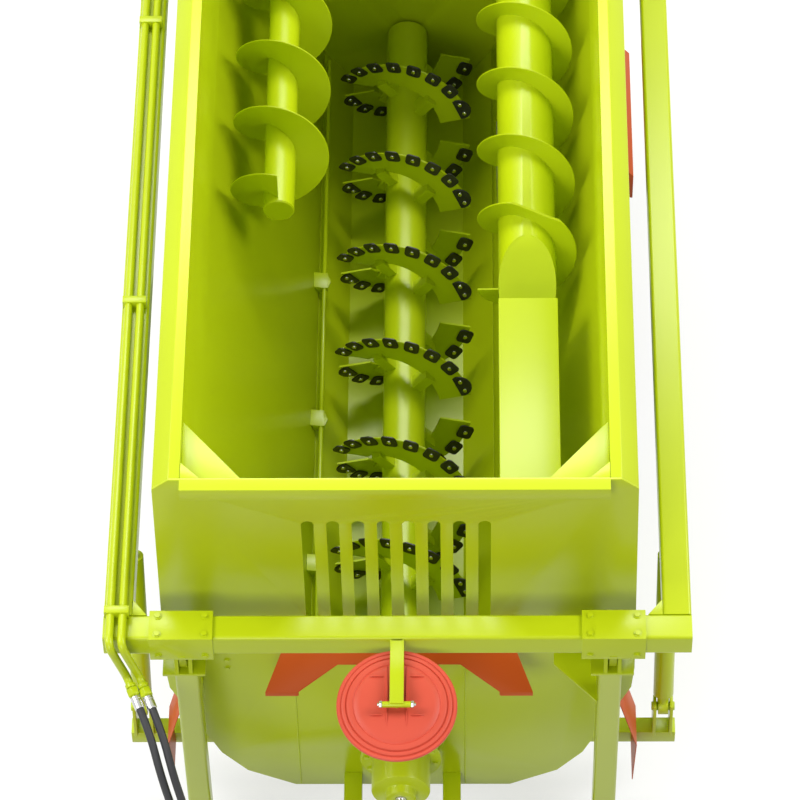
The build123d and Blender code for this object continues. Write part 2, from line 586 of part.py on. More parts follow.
# Hydraulic motor on the drum's right bearing plate
motor = rod((PLATE_X + DRUM_PLATE + 31, DRUM_Y, DRUM_Z), (PLATE_X + DRUM_PLATE + 120, DRUM_Y, DRUM_Z), 70)
motor += tube((PLATE_X + DRUM_PLATE, DRUM_Y, DRUM_Z), (PLATE_X + DRUM_PLATE + 32, DRUM_Y, DRUM_Z), 85, 36)
save(motor, "drum_motor")

# Two hydraulic pipes on the left rail
PIPE_R = 18.0
PIPE_X = (-RAIL_X - 30.0, -RAIL_X + 22.0)
PIPE_Z = beam_z1 + PIPE_R + 3
PIPE_FRONT = 112.0             # pivot to the upright stretch in front of the beam
PIPE_END = 200.0               # pivot to the pipe ends, which point straight away from it
PIPE_END_DROP = 36.0
PIPE_SWING = 62.0
CLAMP_COUNT = 4
CLAMP_Y = [FRONT_Y + TUB_LENGTH * (0.10 + 0.27 * i) for i in range(CLAMP_COUNT)]
PIPE_REAR = 300.0              # rail end to the rear end of the pipes
pipes = []
pipe_ends = []
for x in PIPE_X:
    end = (x + PIPE_SWING, PIVOT_Y - PIPE_END, PIVOT_Z - PIPE_END_DROP)
    path = FilletPolyline((x, rail_y1 - PIPE_REAR, PIPE_Z), (x, PIVOT_Y - PIPE_FRONT, PIPE_Z),
                          (x + PIPE_SWING / 2, PIVOT_Y - PIPE_FRONT, PIVOT_Z - PIPE_END_DROP * PIPE_FRONT / PIPE_END),
                          end, radius=45)
    start_plane = Plane(origin=(x, rail_y1 - PIPE_REAR, PIPE_Z), z_dir=(0, -1, 0))
    pipes.append(sweep(start_plane * Circle(PIPE_R), path=path))
    pipe_ends.append(end)
clamps = [box(PIPE_X[0] - 26, PIPE_X[1] + 26, y - 18, y + 18, beam_z1, PIPE_Z + PIPE_R + 5) for y in CLAMP_Y]
pipe_set = Part() + pipes
for clamp in clamps:
    pipe_set += clamp
save(pipe_set, "boom_pipes")


# Columns with hinge cheeks, and the cross tube that carries them
column_top = PIVOT_Z - 95      # below the sweep of the hinge lugs
CROSS_Z = CHASSIS_TOP_Z - COLUMN / 2
GUSSET_Z = 1364.0
for side, name in ((-1, "left"), (1, "right")):
    column = square_tube(COLUMN_X - COLUMN / 2, COLUMN_X + COLUMN / 2, BEAM_Y - COLUMN / 2,
                         BEAM_Y + COLUMN / 2, CROSS_Z + COLUMN / 2, column_top, TUBE_WALL, "z")
    column += box(LUG_X - 90, LUG_X + 90, BEAM_Y - 60, BEAM_Y + 60, column_top, column_top + 15)
    for x0 in (LUG_X - LUG_T / 2 - CHEEK_GAP - CHEEK_T, LUG_X + LUG_T / 2 + CHEEK_GAP):
        column += prism_x([(BEAM_Y - 60, column_top), (BEAM_Y + 60, column_top),
                           (BEAM_Y + 35, PIVOT_Z + 38), (BEAM_Y - 35, PIVOT_Z + 38)], x0, x0 + CHEEK_T)
    column += rod((LUG_X - LUG_T / 2 - CHEEK_GAP - CHEEK_T - 12, PIVOT_Y, PIVOT_Z),
                  (LUG_X + LUG_T / 2 + CHEEK_GAP + CHEEK_T + 12, PIVOT_Y, PIVOT_Z), PIVOT_R)
    column += box(COLUMN_X - 40, COLUMN_X + 40, BEAM_Y + COLUMN / 2, FRONT_Y, 1150, 1230)
    if side > 0:
        column += prism_z([(COLUMN_X - COLUMN / 2, BEAM_Y - COLUMN / 2), (COLUMN_X - COLUMN / 2, FRONT_Y),
                           (COLUMN_X - 230, FRONT_Y), (COLUMN_X - 230, FRONT_Y - 60)], GUSSET_Z, GUSSET_Z + 12)
    save(column if side > 0 else mirror_x(column), f"column_{name}")
cross = square_tube(-COLUMN_X - COLUMN / 2, COLUMN_X + COLUMN / 2, BEAM_Y - COLUMN / 2, BEAM_Y + COLUMN / 2,
                    CROSS_Z - COLUMN / 2, CROSS_Z + COLUMN / 2, TUBE_WALL, "x")
save(cross, "front_cross_tube")

# Short stubs tie the cross tube to the end plate
rail_z0 = CHASSIS_TOP_Z - CHASSIS_H
chassis = Part()
for side in (-1, 1):
    x = side * CHASSIS_X
    chassis += box(x - CHASSIS_W / 2, x + CHASSIS_W / 2, BEAM_Y + COLUMN / 2, FRONT_Y, rail_z0, CHASSIS_TOP_Z)
    chassis += box(x - CHASSIS_W / 2, x + CHASSIS_W / 2, FRONT_Y + END_PLATE, REAR_Y - END_PLATE,
                   rail_z0, CHASSIS_TOP_Z)

# Axle beam under the rails, with raised spindles
AXLE = 90.0
AXLE_END = TYRE_X - 220.0
SPINDLE_R = 30.0
axle_z1 = rail_z0
axle = box(-AXLE_END, AXLE_END, WHEEL_Y - AXLE / 2, WHEEL_Y + AXLE / 2, axle_z1 - AXLE, axle_z1)
for side in (-1, 1):
    knuckle = box(AXLE_END - 20, AXLE_END + 10, WHEEL_Y - AXLE / 2, WHEEL_Y + AXLE / 2, axle_z1 - AXLE, WHEEL_R + 60)
    knuckle += rod((AXLE_END, WHEEL_Y, WHEEL_R), (TYRE_X + 60, WHEEL_Y, WHEEL_R), SPINDLE_R)
    axle += knuckle if side > 0 else mirror_x(knuckle)
save(axle, "axle")

# Outriggers for the lift cylinders and the side guards
OUT = 80.0
base_y, base_z = LIFT_BASE
out_z1 = CHASSIS_TOP_Z - 20
for side in (-1, 1):
    arm = box(CHASSIS_X + CHASSIS_W / 2, RAIL_X + 60, base_y - OUT / 2, base_y + OUT / 2, out_z1 - OUT, out_z1)
    for x0 in (RAIL_X - EYE_HALF - 8 - EAR_T, RAIL_X + EYE_HALF + 8):
        ear = prism_x([(base_y - 60, out_z1), (base_y + 60, out_z1), (base_y + 35, base_z + 40),
                       (base_y - 35, base_z + 40)], x0, x0 + EAR_T)
        arm += ear
    arm += rod((RAIL_X - EYE_HALF - 8 - EAR_T - 8, base_y, base_z), (RAIL_X + EYE_HALF + 8 + EAR_T + 8, base_y, base_z), 20)
    chassis += arm if side > 0 else mirror_x(arm)
save(chassis, "chassis_frame")

# Lift cylinders: barrel with its foot eye, rod with its head eye
lift_vec = Vector(0, EYE_Y - base_y, EYE_Z - base_z)
LIFT_LENGTH = lift_vec.length
LIFT_BARREL = 865.0
BARREL_R = 45.0
PISTON_START = 315.0          # inner end of the rod, from the foot eye
ROD_R = 22.0
lift_dir = lift_vec.normalized()


def along_lift(distance, x):
    return (x, base_y + lift_dir.Y * distance, base_z + lift_dir.Z * distance)


for side, name in ((-1, "left"), (1, "right")):
    x = side * RAIL_X
    barrel = rod(along_lift(75, x), along_lift(LIFT_BARREL, x), BARREL_R)
    barrel += rod(along_lift(25, x), along_lift(75, x), 26)
    barrel += rod((x - EYE_HALF, base_y, base_z), (x + EYE_HALF, base_y, base_z), EYE_R)
    barrel -= rod((x - EYE_HALF - 1, base_y, base_z), (x + EYE_HALF + 1, base_y, base_z), 20.05)
    barrel -= rod(along_lift(90, x), along_lift(LIFT_BARREL + 1, x), ROD_R + 0.08)
    save(barrel, f"lift_barrel_{name}")
    piston = rod(along_lift(PISTON_START, x), along_lift(LIFT_LENGTH - 20, x), ROD_R)
    piston += rod((x - EYE_HALF, EYE_Y, EYE_Z), (x + EYE_HALF, EYE_Y, EYE_Z), EYE_R)
    save(piston, f"lift_rod_{name}")

# Drawbar with its ring eye
DRAW_Z = CROSS_Z
EYE_RING_R = 50.0
EYE_BORE_R = 25.0
draw_y1 = BEAM_Y - COLUMN / 2
eye_y = EYE_TIP_Y + EYE_RING_R
DRAW_NOSE_Y = eye_y + 220
drawbar = Part()
for side in (-1, 1):
    leg = prism_z([(260, draw_y1), (340, draw_y1), (75, DRAW_NOSE_Y), (25, DRAW_NOSE_Y)],
                  DRAW_Z - 45, DRAW_Z + 45)
    drawbar += leg if side > 0 else mirror_x(leg)
drawbar += box(-75, 75, DRAW_NOSE_Y - 60, DRAW_NOSE_Y + 20, DRAW_Z - 45, DRAW_Z + 45)
drawbar += box(-30, 30, eye_y, DRAW_NOSE_Y - 50, DRAW_Z - 15, DRAW_Z + 15)
drawbar += Pos(0, eye_y, DRAW_Z) * Cylinder(EYE_RING_R, 30)
drawbar -= Pos(0, eye_y, DRAW_Z) * Cylinder(EYE_BORE_R, 40)
JACK_X = 330.0
JACK_Y = draw_y1 - 420.0
jack_leg_x = JACK_X
drawbar += rod((200, JACK_Y, DRAW_Z), (JACK_X + 85, JACK_Y, DRAW_Z), 28)
drawbar += rod((JACK_X - 60, JACK_Y, DRAW_Z), (JACK_X - 46, JACK_Y, DRAW_Z), 60)
save(drawbar, "drawbar")

# Swing-up parking jack
jack = tube((JACK_X - 45, JACK_Y, DRAW_Z), (JACK_X + 45, JACK_Y, DRAW_Z), 45, 28.05)
jack += box(JACK_X - 35, JACK_X + 35, JACK_Y - 35, JACK_Y + 35, 60, DRAW_Z - 38)
jack += box(JACK_X - 25, JACK_X + 25, JACK_Y - 25, JACK_Y + 25, 12, 60)
jack += box(JACK_X - 80, JACK_X + 80, JACK_Y - 80, JACK_Y + 80, 0, 12)
save(jack, "parking_jack")

# Gearbox in front of the lower auger and its input shaft
GEAR_Y0 = FRONT_Y - 330.0
SHAFT_IN_Z = LOWER_Z
gearbox = Part()
for y0, y1, radius in ((FRONT_Y - 40 - FIT, FRONT_Y - 62, 190), (FRONT_Y - 62, FRONT_Y - 150, 160),
                       (FRONT_Y - 150, FRONT_Y - 166, 178), (FRONT_Y - 166, GEAR_Y0, 128),
                       (GEAR_Y0, GEAR_Y0 - 40, 66)):
    gearbox += rod((0, y0, LOWER_Z), (0, y1, LOWER_Z), radius)
gearbox -= rod((0, FRONT_Y - 130, LOWER_Z), (0, FRONT_Y - 30, LOWER_Z), SHAFT_R + 0.05)
PTO_R = 17.5
PTO_INNER_R = 24.0
PTO_BOSS = 40.0
PTO_FREE = 110.0               # free length in front of the boss
gearbox -= rod((0, GEAR_Y0 - PTO_BOSS - 1, SHAFT_IN_Z), (0, GEAR_Y0 + 80, SHAFT_IN_Z), PTO_INNER_R + 0.05)
save(gearbox, "gearbox")
pto = rod((0, GEAR_Y0 - PTO_BOSS - PTO_FREE, SHAFT_IN_Z), (0, GEAR_Y0 - PTO_BOSS, SHAFT_IN_Z), PTO_R)
pto += rod((0, GEAR_Y0 - PTO_BOSS, SHAFT_IN_Z), (0, GEAR_Y0 + 70, SHAFT_IN_Z), PTO_INNER_R)
save(pto, "pto_stub")

# Wheels
HUB_Y = WHEEL_Y
for side, name in ((-1, "left"), (1, "right")):
    x = side * TYRE_X
    section = [(RIM_R, -TYRE_W / 2 + 15), (RIM_R + 60, -TYRE_W / 2), (WHEEL_R - 45, -TYRE_W / 2 + 5),
               (WHEEL_R - 8, -TYRE_W / 2 + 40), (WHEEL_R, 0), (WHEEL_R - 8, TYRE_W / 2 - 40),
               (WHEEL_R - 45, TYRE_W / 2 - 5), (RIM_R + 60, TYRE_W / 2), (RIM_R, TYRE_W / 2 - 15)]
    plane = Plane(origin=(x, WHEEL_Y, WHEEL_R), x_dir=(0, 0, 1), z_dir=(0, 1, 0))
    profile = plane * make_face(Polyline([(r0, w0) for r0, w0 in section], close=True))
    tyre = revolve(profile, axis=Axis((x, WHEEL_Y, WHEEL_R), (1, 0, 0)))
    save(tyre, f"tyre_{name}")
    disc_x = x + side * 40
    rim = tube((x - TYRE_W / 2 + 15, HUB_Y, WHEEL_R), (x + TYRE_W / 2 - 15, HUB_Y, WHEEL_R), RIM_R, RIM_R - 10)
    rim += rod((disc_x - 6, HUB_Y, WHEEL_R), (disc_x + 6, HUB_Y, WHEEL_R), RIM_R - 5)
    rim += rod((disc_x - side * 130, HUB_Y, WHEEL_R), (disc_x + side * 50, HUB_Y, WHEEL_R), HUB_R)
    rim -= rod((disc_x - side * 140, HUB_Y, WHEEL_R), (side * (TYRE_X + 62), HUB_Y, WHEEL_R), SPINDLE_R + 0.05)
    save(rim, f"wheel_{name}")

# Discharge door, its guides, hood and cylinder on the right slope
DOOR_T = 8.0
DOOR_LAP = 30.0
DOOR_OUT = WALL + 2.0
DOOR_TRAVEL = 310.0
door_a0 = DOOR_LOW * SLOPE - DOOR_LAP
door_a1 = DOOR_HIGH * SLOPE + DOOR_LAP
door_mid = (DOOR_Y0 + DOOR_Y1) / 2
door = slope_slab(door_a0, door_a1, DOOR_OUT, DOOR_OUT + DOOR_T, DOOR_Y0 - DOOR_LAP, DOOR_Y1 + DOOR_LAP)
door += slope_slab(door_a0 + 40, door_a0 + 70, DOOR_OUT, DOOR_OUT + 90, door_mid - 30, door_mid + 30)


def slope_rod(a0, a1, out, y, radius):
    x0, z0 = slope_point(a0, out)
    x1, z1 = slope_point(a1, out)
    return rod((x0, y, z0), (x1, y, z1), radius)


DOOR_ROD_OUT = 70.0
DOOR_ROD_R = 14.0
BARREL_A0 = 650.0              # share of the slope taken by the door's cylinder
BARREL_A1 = 1120.0
ROD_END = BARREL_A1 - 30 - DOOR_TRAVEL - 12
door += slope_rod(door_a0 + 60, ROD_END, DOOR_ROD_OUT, door_mid, DOOR_ROD_R)
save(door, "discharge_door")
guides = Part()
guide_a1 = door_a1 + DOOR_TRAVEL
for y0, y1 in ((DOOR_Y0 - DOOR_LAP - 26, DOOR_Y0 - DOOR_LAP - 6), (DOOR_Y1 + DOOR_LAP + 6, DOOR_Y1 + DOOR_LAP + 26)):
    guides += slope_slab(door_a0, guide_a1, WALL, WALL + 24, y0, y1)
    lip0, lip1 = (y1, y1 + 22) if y0 < door_mid else (y0 - 22, y0)
    guides += slope_slab(door_a0, guide_a1, DOOR_OUT + DOOR_T + 2, WALL + 24, lip0, lip1)
save(guides, "door_guides")
door_barrel = slope_rod(BARREL_A0, BARREL_A1, DOOR_ROD_OUT, door_mid, 32)
door_barrel -= slope_rod(BARREL_A0 - 1, BARREL_A1 - 30, DOOR_ROD_OUT, door_mid, DOOR_ROD_R + 0.08)
door_barrel += slope_slab(BARREL_A1 - 30, BARREL_A1, WALL, DOOR_ROD_OUT, door_mid - 20, door_mid + 20)
save(door_barrel, "door_cylinder")
hood_top = slope_point(900, WALL)
HOOD_X = BOOM_HALF_WIDTH - 140.0
HOOD_Z = 1080.0
HOOD_SHEET = 4.0
chute = prism_y([hood_top, (HOOD_X, HOOD_Z), (HOOD_X, HOOD_Z - 160), (HOOD_X - HOOD_SHEET, HOOD_Z - 160),
                 (HOOD_X - HOOD_SHEET, HOOD_Z - HOOD_SHEET), (hood_top[0] - 2, hood_top[1] - 5)],
                DOOR_Y0 - 80, DOOR_Y1 + 80)
low = slope_point(420, WALL)
for y0 in (DOOR_Y0 - 80 - HOOD_SHEET, DOOR_Y1 + 80):
    chute += prism_y([hood_top, (HOOD_X, HOOD_Z), (HOOD_X, HOOD_Z - 160), low], y0, y0 + HOOD_SHEET)
chute -= slope_rod(BARREL_A0 - 20, BARREL_A1 + 20, DOOR_ROD_OUT, door_mid, 40)
chute -= slope_slab(-200, 1200, -60, WALL, DOOR_Y0 - 100, DOOR_Y1 + 100)
save(chute, "discharge_hood")

# Orange guards: over the front drive and along both lower sides
GUARD_T = 4.0
GUARD_HALF = COLUMN_X - 415.0
SHIELD_X = COLUMN_X + 150.0     # outer face of the side guards
GUARD_TOP_Z = 1500.0
GUARD_LIP_Z = 1370.0
GUARD_DEPTH = 200.0
GUARD_LIP = 30.0
GUARD_FLARE = 95.0             # how much wider the lip is than the top, on each side


def guard_body(inset):
    """The hood's outer body, or its hollow when inset by the sheet."""
    front = FRONT_Y - GUARD_DEPTH + inset
    back = FRONT_Y + (1 if inset else 0)
    low = GUARD_LIP_Z - GUARD_LIP - (1 if inset else 0)
    roof = prism_x([(back, GUARD_TOP_Z - inset), (front, GUARD_LIP_Z - inset), (front, low), (back, low)],
                   -2 * GUARD_HALF, 2 * GUARD_HALF)
    wide = GUARD_HALF + GUARD_FLARE - inset
    plan = prism_z([(GUARD_HALF - inset, back), (wide, front), (-wide, front), (inset - GUARD_HALF, back)],
                   low - 1, GUARD_TOP_Z + 1)
    return roof & plan


notch = prism_z([(GUARD_HALF - 40, FRONT_Y - GUARD_DEPTH - 1), (0.55 * GUARD_HALF, FRONT_Y - GUARD_DEPTH / 2),
                 (-0.55 * GUARD_HALF, FRONT_Y - GUARD_DEPTH / 2),
                 (40 - GUARD_HALF, FRONT_Y - GUARD_DEPTH - 1)], 1200, 1600)
guard = guard_body(0) - guard_body(GUARD_T) - notch
save(guard, "front_guard")
side_guards = Part()
for side in (-1, 1):
    panel = prism_y([(SHIELD_X - 14, 320), (SHIELD_X - 10, 320), (SHIELD_X, 605), (SHIELD_X - 82, 941),
                     (SHIELD_X - 86, 940), (SHIELD_X - 4, 605)],
                    FRONT_Y + END_PLATE, base_y - OUT / 2)
    side_guards += panel if side > 0 else mirror_x(panel)
save(side_guards, "side_guards")

# Round mirror on its arm, in front of the beam
MIRROR_R = 255.0
MIRROR_TILT = 82.0            # elevation of the dish's normal, in degrees
mirror_y = BEAM_Y - BEAM / 2 - 275
mirror_z = BEAM_Z - 25
mirror_normal = Vector(0, -math.cos(math.radians(MIRROR_TILT)), math.sin(math.radians(MIRROR_TILT)))
mirror_plane = Plane(origin=(0, mirror_y, mirror_z), x_dir=(1, 0, 0), z_dir=mirror_normal)
dish = Part()
for radius, z0, z1 in ((MIRROR_R, -12, 0), (MIRROR_R - 35, 0, 10), (MIRROR_R - 90, 10, 20)):
    dish += extrude(mirror_plane.offset(z0) * Circle(radius), amount=z1 - z0)
rib_boxes = [(x, 0, 12, 440) for x in (-30, 30)]
rib_boxes += [(x, y, 110, 8) for x in (-85, 85) for y in (-70, 70)]
for x, y, width, length in rib_boxes:
    dish += mirror_plane * Pos(x, y, 13) * Box(width, length, 20)
save(dish, "mirror_dish")
arm_y0 = BEAM_Y - BEAM / 2
mirror_arm = box(-25, 25, arm_y0 - 8, arm_y0, BEAM_Z - 45, BEAM_Z + 45)
ARM_Z = BEAM_Z + 38
mirror_arm += rod((0, arm_y0 - 4, ARM_Z), (0, mirror_y - 40, ARM_Z), 16)
boss_start = Vector(0, mirror_y, mirror_z) + mirror_normal * 20
mirror_arm += rod(tuple(boss_start), tuple(boss_start + mirror_normal * 40), 22)
save(mirror_arm, "mirror_arm")

# Hose holder on the drawbar and the two free hoses from the pipe ends to it
HOSE_R = 17.0
HOSE_GAP = 0.9
HOLDER_X = -160.0
HOLDER_Y = draw_y1 - 330.0
HOLDER_HALF = 62.0
HOLDER_Z = DRAW_Z + 105.0
holder = box(HOLDER_X, HOLDER_X + 60, HOLDER_Y - HOLDER_HALF, HOLDER_Y + HOLDER_HALF, DRAW_Z + 45, DRAW_Z + 150)
save(holder, "hose_holder")
HOSE_FIRST = 168.0             # first run, straight on from the pipe
HOSE_PITCH = 52.0              # between the two hoses at the holder
# Offsets from the pipe end to each further turn, and how much higher the inner hose lies there
HOSE_ROUTE = [(84, -278, -155), (114, -318, -335), (140, -312, -545), (186, -290, -755),
              (280, -262, -940), (430, -222, -1065), (600, -180, -1150)]
INNER_LIFT = [0, 0, 0, 12, 34, 50, HOSE_PITCH]


def cord_radii(points):
    """Arc at each turn: 0.45 of the shorter run over the tangent of half the turn."""
    radii = []
    for a, b, c in zip(points, points[1:], points[2:]):
        run_in = b - a
        run_out = c - b
        half_turn = math.radians(run_in.get_angle(run_out)) / 2
        radii.append(0.45 * min(run_in.length, run_out.length) / math.tan(half_turn))
    return radii


for i, (end, name) in enumerate(zip(pipe_ends, ("outer", "inner"))):
    leave = Vector(PIPE_SWING / 2, PIPE_FRONT - PIPE_END,
                   PIPE_END_DROP * (PIPE_FRONT / PIPE_END - 1)).normalized()
    hose_z = HOLDER_Z + (i - 0.5) * HOSE_PITCH
    points = [Vector(*end) + leave * HOSE_GAP, Vector(*end) + leave * HOSE_FIRST]
    points += [Vector(*end) + Vector(x, y, z + lift * i) for (x, y, z), lift in zip(HOSE_ROUTE, INNER_LIFT)]
    points += [Vector(HOLDER_X - 150, HOLDER_Y, hose_z), Vector(HOLDER_X, HOLDER_Y, hose_z)]
    radii = cord_radii(points)
    path = FilletPolyline(*points, radius=radii)
    start = Plane(origin=points[0], z_dir=points[1] - points[0])
    hose = sweep(start * Circle(HOSE_R), path=path)
    print(name, "radii", [round(r) for r in radii], "length", round(path.length),
          "volume ratio", round(hose.volume / (math.pi * HOSE_R ** 2 * path.length), 4))
    save(hose, f"hose_{name}")
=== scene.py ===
import json
import math

import bmesh
import bpy
from mathutils import Matrix, Vector


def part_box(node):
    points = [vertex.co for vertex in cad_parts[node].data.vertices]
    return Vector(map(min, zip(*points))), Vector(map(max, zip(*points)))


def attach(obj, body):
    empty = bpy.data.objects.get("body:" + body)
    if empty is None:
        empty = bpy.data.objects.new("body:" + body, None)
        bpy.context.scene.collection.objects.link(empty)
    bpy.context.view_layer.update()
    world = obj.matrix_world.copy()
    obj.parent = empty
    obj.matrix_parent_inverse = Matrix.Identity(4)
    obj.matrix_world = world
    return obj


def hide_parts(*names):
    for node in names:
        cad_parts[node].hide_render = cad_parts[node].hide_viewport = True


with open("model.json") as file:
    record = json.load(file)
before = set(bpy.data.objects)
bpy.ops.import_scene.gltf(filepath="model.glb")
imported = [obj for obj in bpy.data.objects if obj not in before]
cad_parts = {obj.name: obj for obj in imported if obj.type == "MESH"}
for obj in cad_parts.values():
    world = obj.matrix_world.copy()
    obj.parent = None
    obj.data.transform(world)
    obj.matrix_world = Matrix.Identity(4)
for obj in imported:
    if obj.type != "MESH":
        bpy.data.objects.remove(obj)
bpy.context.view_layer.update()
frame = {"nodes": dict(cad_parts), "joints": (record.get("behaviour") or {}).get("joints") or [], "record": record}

# Axes of the moving bodies, in metres, from the frame's joints
AXIS = {joint["name"]: joint for joint in frame["joints"]}


def joint_point(name):
    """A point on the joint's axis, at rest."""
    return Vector(AXIS[name]["pos_m"])


# Sizes of the augers, knives, hoses and wheels, in metres
FLIGHT_T = 0.008
UPPER_FLIGHT_R = 0.225
UPPER_PITCH = 0.405
LEFT_TUBE_R = 0.072
RIGHT_TUBE_R = 0.130
LOWER_TUBE_R = 0.098
LOWER_FLIGHT_R = 0.320
KNIFE_REACH = 0.025
KNIFE = 0.072
LEAD_KNIFE = 0.112
KNIFE_T = 0.008
KNIVES = 8
SHAFT_R = 0.040
LOWER_TURNS = 7.0
SEGMENTS = 14
SEGMENT_SHARE = 0.42
RIGHT_CUT = 0.350
END_GAP = 0.012
END_PLATE = 0.010
HOSE_R = 0.017
WHEEL_R = 0.400


# Camera: the photograph's place and lens
def aim_camera():
    """Sets the camera's place, turn and focal length as fitted to the picture."""
    place = Vector((0.2975, -11.5378, 16.2755))
    right = Vector((0.999862, 0.007675, -0.014734))
    up = Vector((0.002672, 0.801047, 0.598595))
    back = Vector((0.016396, -0.598552, 0.800916))
    data = bpy.data.cameras.new("camera")
    data.sensor_width = 36.0
    data.sensor_fit = "HORIZONTAL"
    data.lens = 187.1
    data.clip_start = 0.5
    data.clip_end = 120.0
    camera = bpy.data.objects.new("camera", data)
    bpy.context.scene.collection.objects.link(camera)
    turn = Matrix((right, up, back)).transposed().to_4x4()
    camera.matrix_world = Matrix.Translation(place) @ turn
    bpy.context.scene.camera = camera


aim_camera()


# Materials
COAT_ROUGHNESS = 0.28


def material(name, color, roughness, metallic=0.0, coat=0.0, specular=0.5):
    """A plain principled finish, with its node tree and shader to build on."""
    mat = bpy.data.materials.new(name)
    mat.use_nodes = True
    tree = mat.node_tree
    shader = tree.nodes["Principled BSDF"]
    shader.inputs["Roughness"].default_value = roughness
    shader.inputs["Metallic"].default_value = metallic
    shader.inputs["Specular IOR Level"].default_value = specular
    shader.inputs["Coat Weight"].default_value = coat
    shader.inputs["Coat Roughness"].default_value = COAT_ROUGHNESS
    shader.inputs["Base Color"].default_value = (*color, 1.0)
    return mat, tree, shader


def drift(tree, shader, color, spread, scale):
    """Slow change of colour over the surface, from Object coordinates."""
    coords = tree.nodes.new("ShaderNodeTexCoord")
    noise = tree.nodes.new("ShaderNodeTexNoise")
    noise.inputs["Scale"].default_value = scale
    noise.inputs["Detail"].default_value = 3.0
    ramp = tree.nodes.new("ShaderNodeValToRGB")
    ramp.color_ramp.elements[0].color = (*[c * (1 - spread) for c in color], 1.0)
    ramp.color_ramp.elements[1].color = (*[min(c * (1 + spread), 1.0) for c in color], 1.0)
    ramp.color_ramp.elements[0].position = 0.3
    ramp.color_ramp.elements[1].position = 0.7
    tree.links.new(coords.outputs["Object"], noise.inputs["Vector"])
    tree.links.new(noise.outputs["Fac"], ramp.inputs["Fac"])
    tree.links.new(ramp.outputs["Color"], shader.inputs["Base Color"])
    return coords


GRAIN_DEPTH = 0.002


def grain(tree, shader, coords, scale, strength):
    """Fine bump, such as orange peel in paint or the skin of rubber."""
    noise = tree.nodes.new("ShaderNodeTexNoise")
    noise.inputs["Scale"].default_value = scale
    noise.inputs["Detail"].default_value = 2.0
    bump = tree.nodes.new("ShaderNodeBump")
    bump.inputs["Strength"].default_value = strength
    bump.inputs["Distance"].default_value = GRAIN_DEPTH
    tree.links.new(coords.outputs["Object"], noise.inputs["Vector"])
    tree.links.new(noise.outputs["Fac"], bump.inputs["Height"])
    tree.links.new(bump.outputs["Normal"], shader.inputs["Normal"])


def finish_of(name, color, roughness, metallic=0.0, coat=0.0, spread=0.04, drift_scale=1.5,
              grain_scale=220.0, strength=0.08, specular=0.5):
    """A finish whose colour drifts slowly and whose surface has a fine grain."""
    mat, tree, shader = material(name, color, roughness, metallic, coat, specular)
    coords = drift(tree, shader, color, spread, drift_scale)
    grain(tree, shader, coords, grain_scale, strength)
    return mat


LIME = (0.480, 0.580, 0.005)
ORANGE = (0.560, 0.085, 0.004)
MIRROR_RED = (0.600, 0.075, 0.040)
green_paint = finish_of("green_paint", LIME, 0.34, coat=0.50, spread=0.03, specular=0.12)
orange_paint = finish_of("orange_paint", ORANGE, 0.45, spread=0.05, specular=0.2)
mirror_plastic = finish_of("mirror_plastic", MIRROR_RED, 0.48, spread=0.04, grain_scale=400.0,
                           specular=0.35)
black_steel = finish_of("black_steel", (0.022, 0.022, 0.024), 0.42, spread=0.2, drift_scale=8.0)
hose_rubber = finish_of("hose_rubber", (0.018, 0.018, 0.020), 0.55, spread=0.2, grain_scale=500.0)
tyre_rubber = finish_of("tyre_rubber", (0.020, 0.020, 0.021), 0.75, spread=0.25, grain_scale=350.0,
                        strength=0.3)
bright_steel = finish_of("bright_steel", (0.62, 0.62, 0.60), 0.24, metallic=1.0, spread=0.05, strength=0.03)
silver_paint = finish_of("silver_paint", (0.50, 0.51, 0.52), 0.38, metallic=0.6, spread=0.04)
SLOT_FINISH = {"green_paint": green_paint, "orange_paint": orange_paint, "orange_red_plastic": mirror_plastic,
               "black_steel": black_steel, "polished_steel": bright_steel, "silver_paint": silver_paint,
               "tyre_rubber": tyre_rubber, "hose_rubber": hose_rubber}
SLOT_OF = {row["node"]: row["material_slot"] for row in frame["record"]["subparts"]}
BODY_OF = {node: body for body, nodes in frame["record"]["behaviour"]["bodies"].items() for node in nodes}


# The two free hoses, from the pipe ends on the boom to their holder on the drawbar. The turns are
# measured from the pipe's end, and the inner hose is raised over the outer one's last stretch.
PIPE_LEAVE = Vector((0.037, -0.088, -0.01584)).normalized()
HOSE_TURNS = [(0.107, -0.278, -0.155), (0.141, -0.318, -0.335), (0.167, -0.312, -0.545),
              (0.209, -0.290, -0.755), (0.288, -0.262, -0.940), (0.413, -0.222, -1.065),
              (0.563, -0.180, -1.150)]
HOSES = {"hose_outer": {"pipe": (-1.096, -2.150, 1.649), "raised": (0, 0, 0, 0, 0, 0, 0), "holder_z": 0.431,
                        "length": 1.93},
         "hose_inner": {"pipe": (-1.044, -2.150, 1.649), "raised": (0, 0, 0, 0.012, 0.034, 0.050, 0.052),
                        "holder_z": 0.483, "length": 1.84}}
HOLDER_X = -0.160
HOLDER_Y = -2.330
HOSE_GAP = 0.0009              # hose end to pipe end
FIRST_STRETCH = 0.168          # straight run from the pipe's end to the first point
LAST_STRETCH = 0.150           # straight run into the holder


# Mesh helpers that the hoses need too
def mesh_object(name, verts, faces, mat):
    """A new object of plain mesh with one material."""
    mesh = bpy.data.meshes.new(name)
    mesh.from_pydata([tuple(v) for v in verts], [], faces)
    mesh.update()
    obj = bpy.data.objects.new(name, mesh)
    bpy.context.scene.collection.objects.link(obj)
    obj.data.materials.append(mat)
    return obj


def outward(obj, merge=1e-5):
    """Merges doubles and turns every face to the outside."""
    bm = bmesh.new()
    bm.from_mesh(obj.data)
    bmesh.ops.remove_doubles(bm, verts=bm.verts, dist=merge)
    bmesh.ops.recalc_face_normals(bm, faces=bm.faces)
    bm.to_mesh(obj.data)
    bm.free()
    return obj


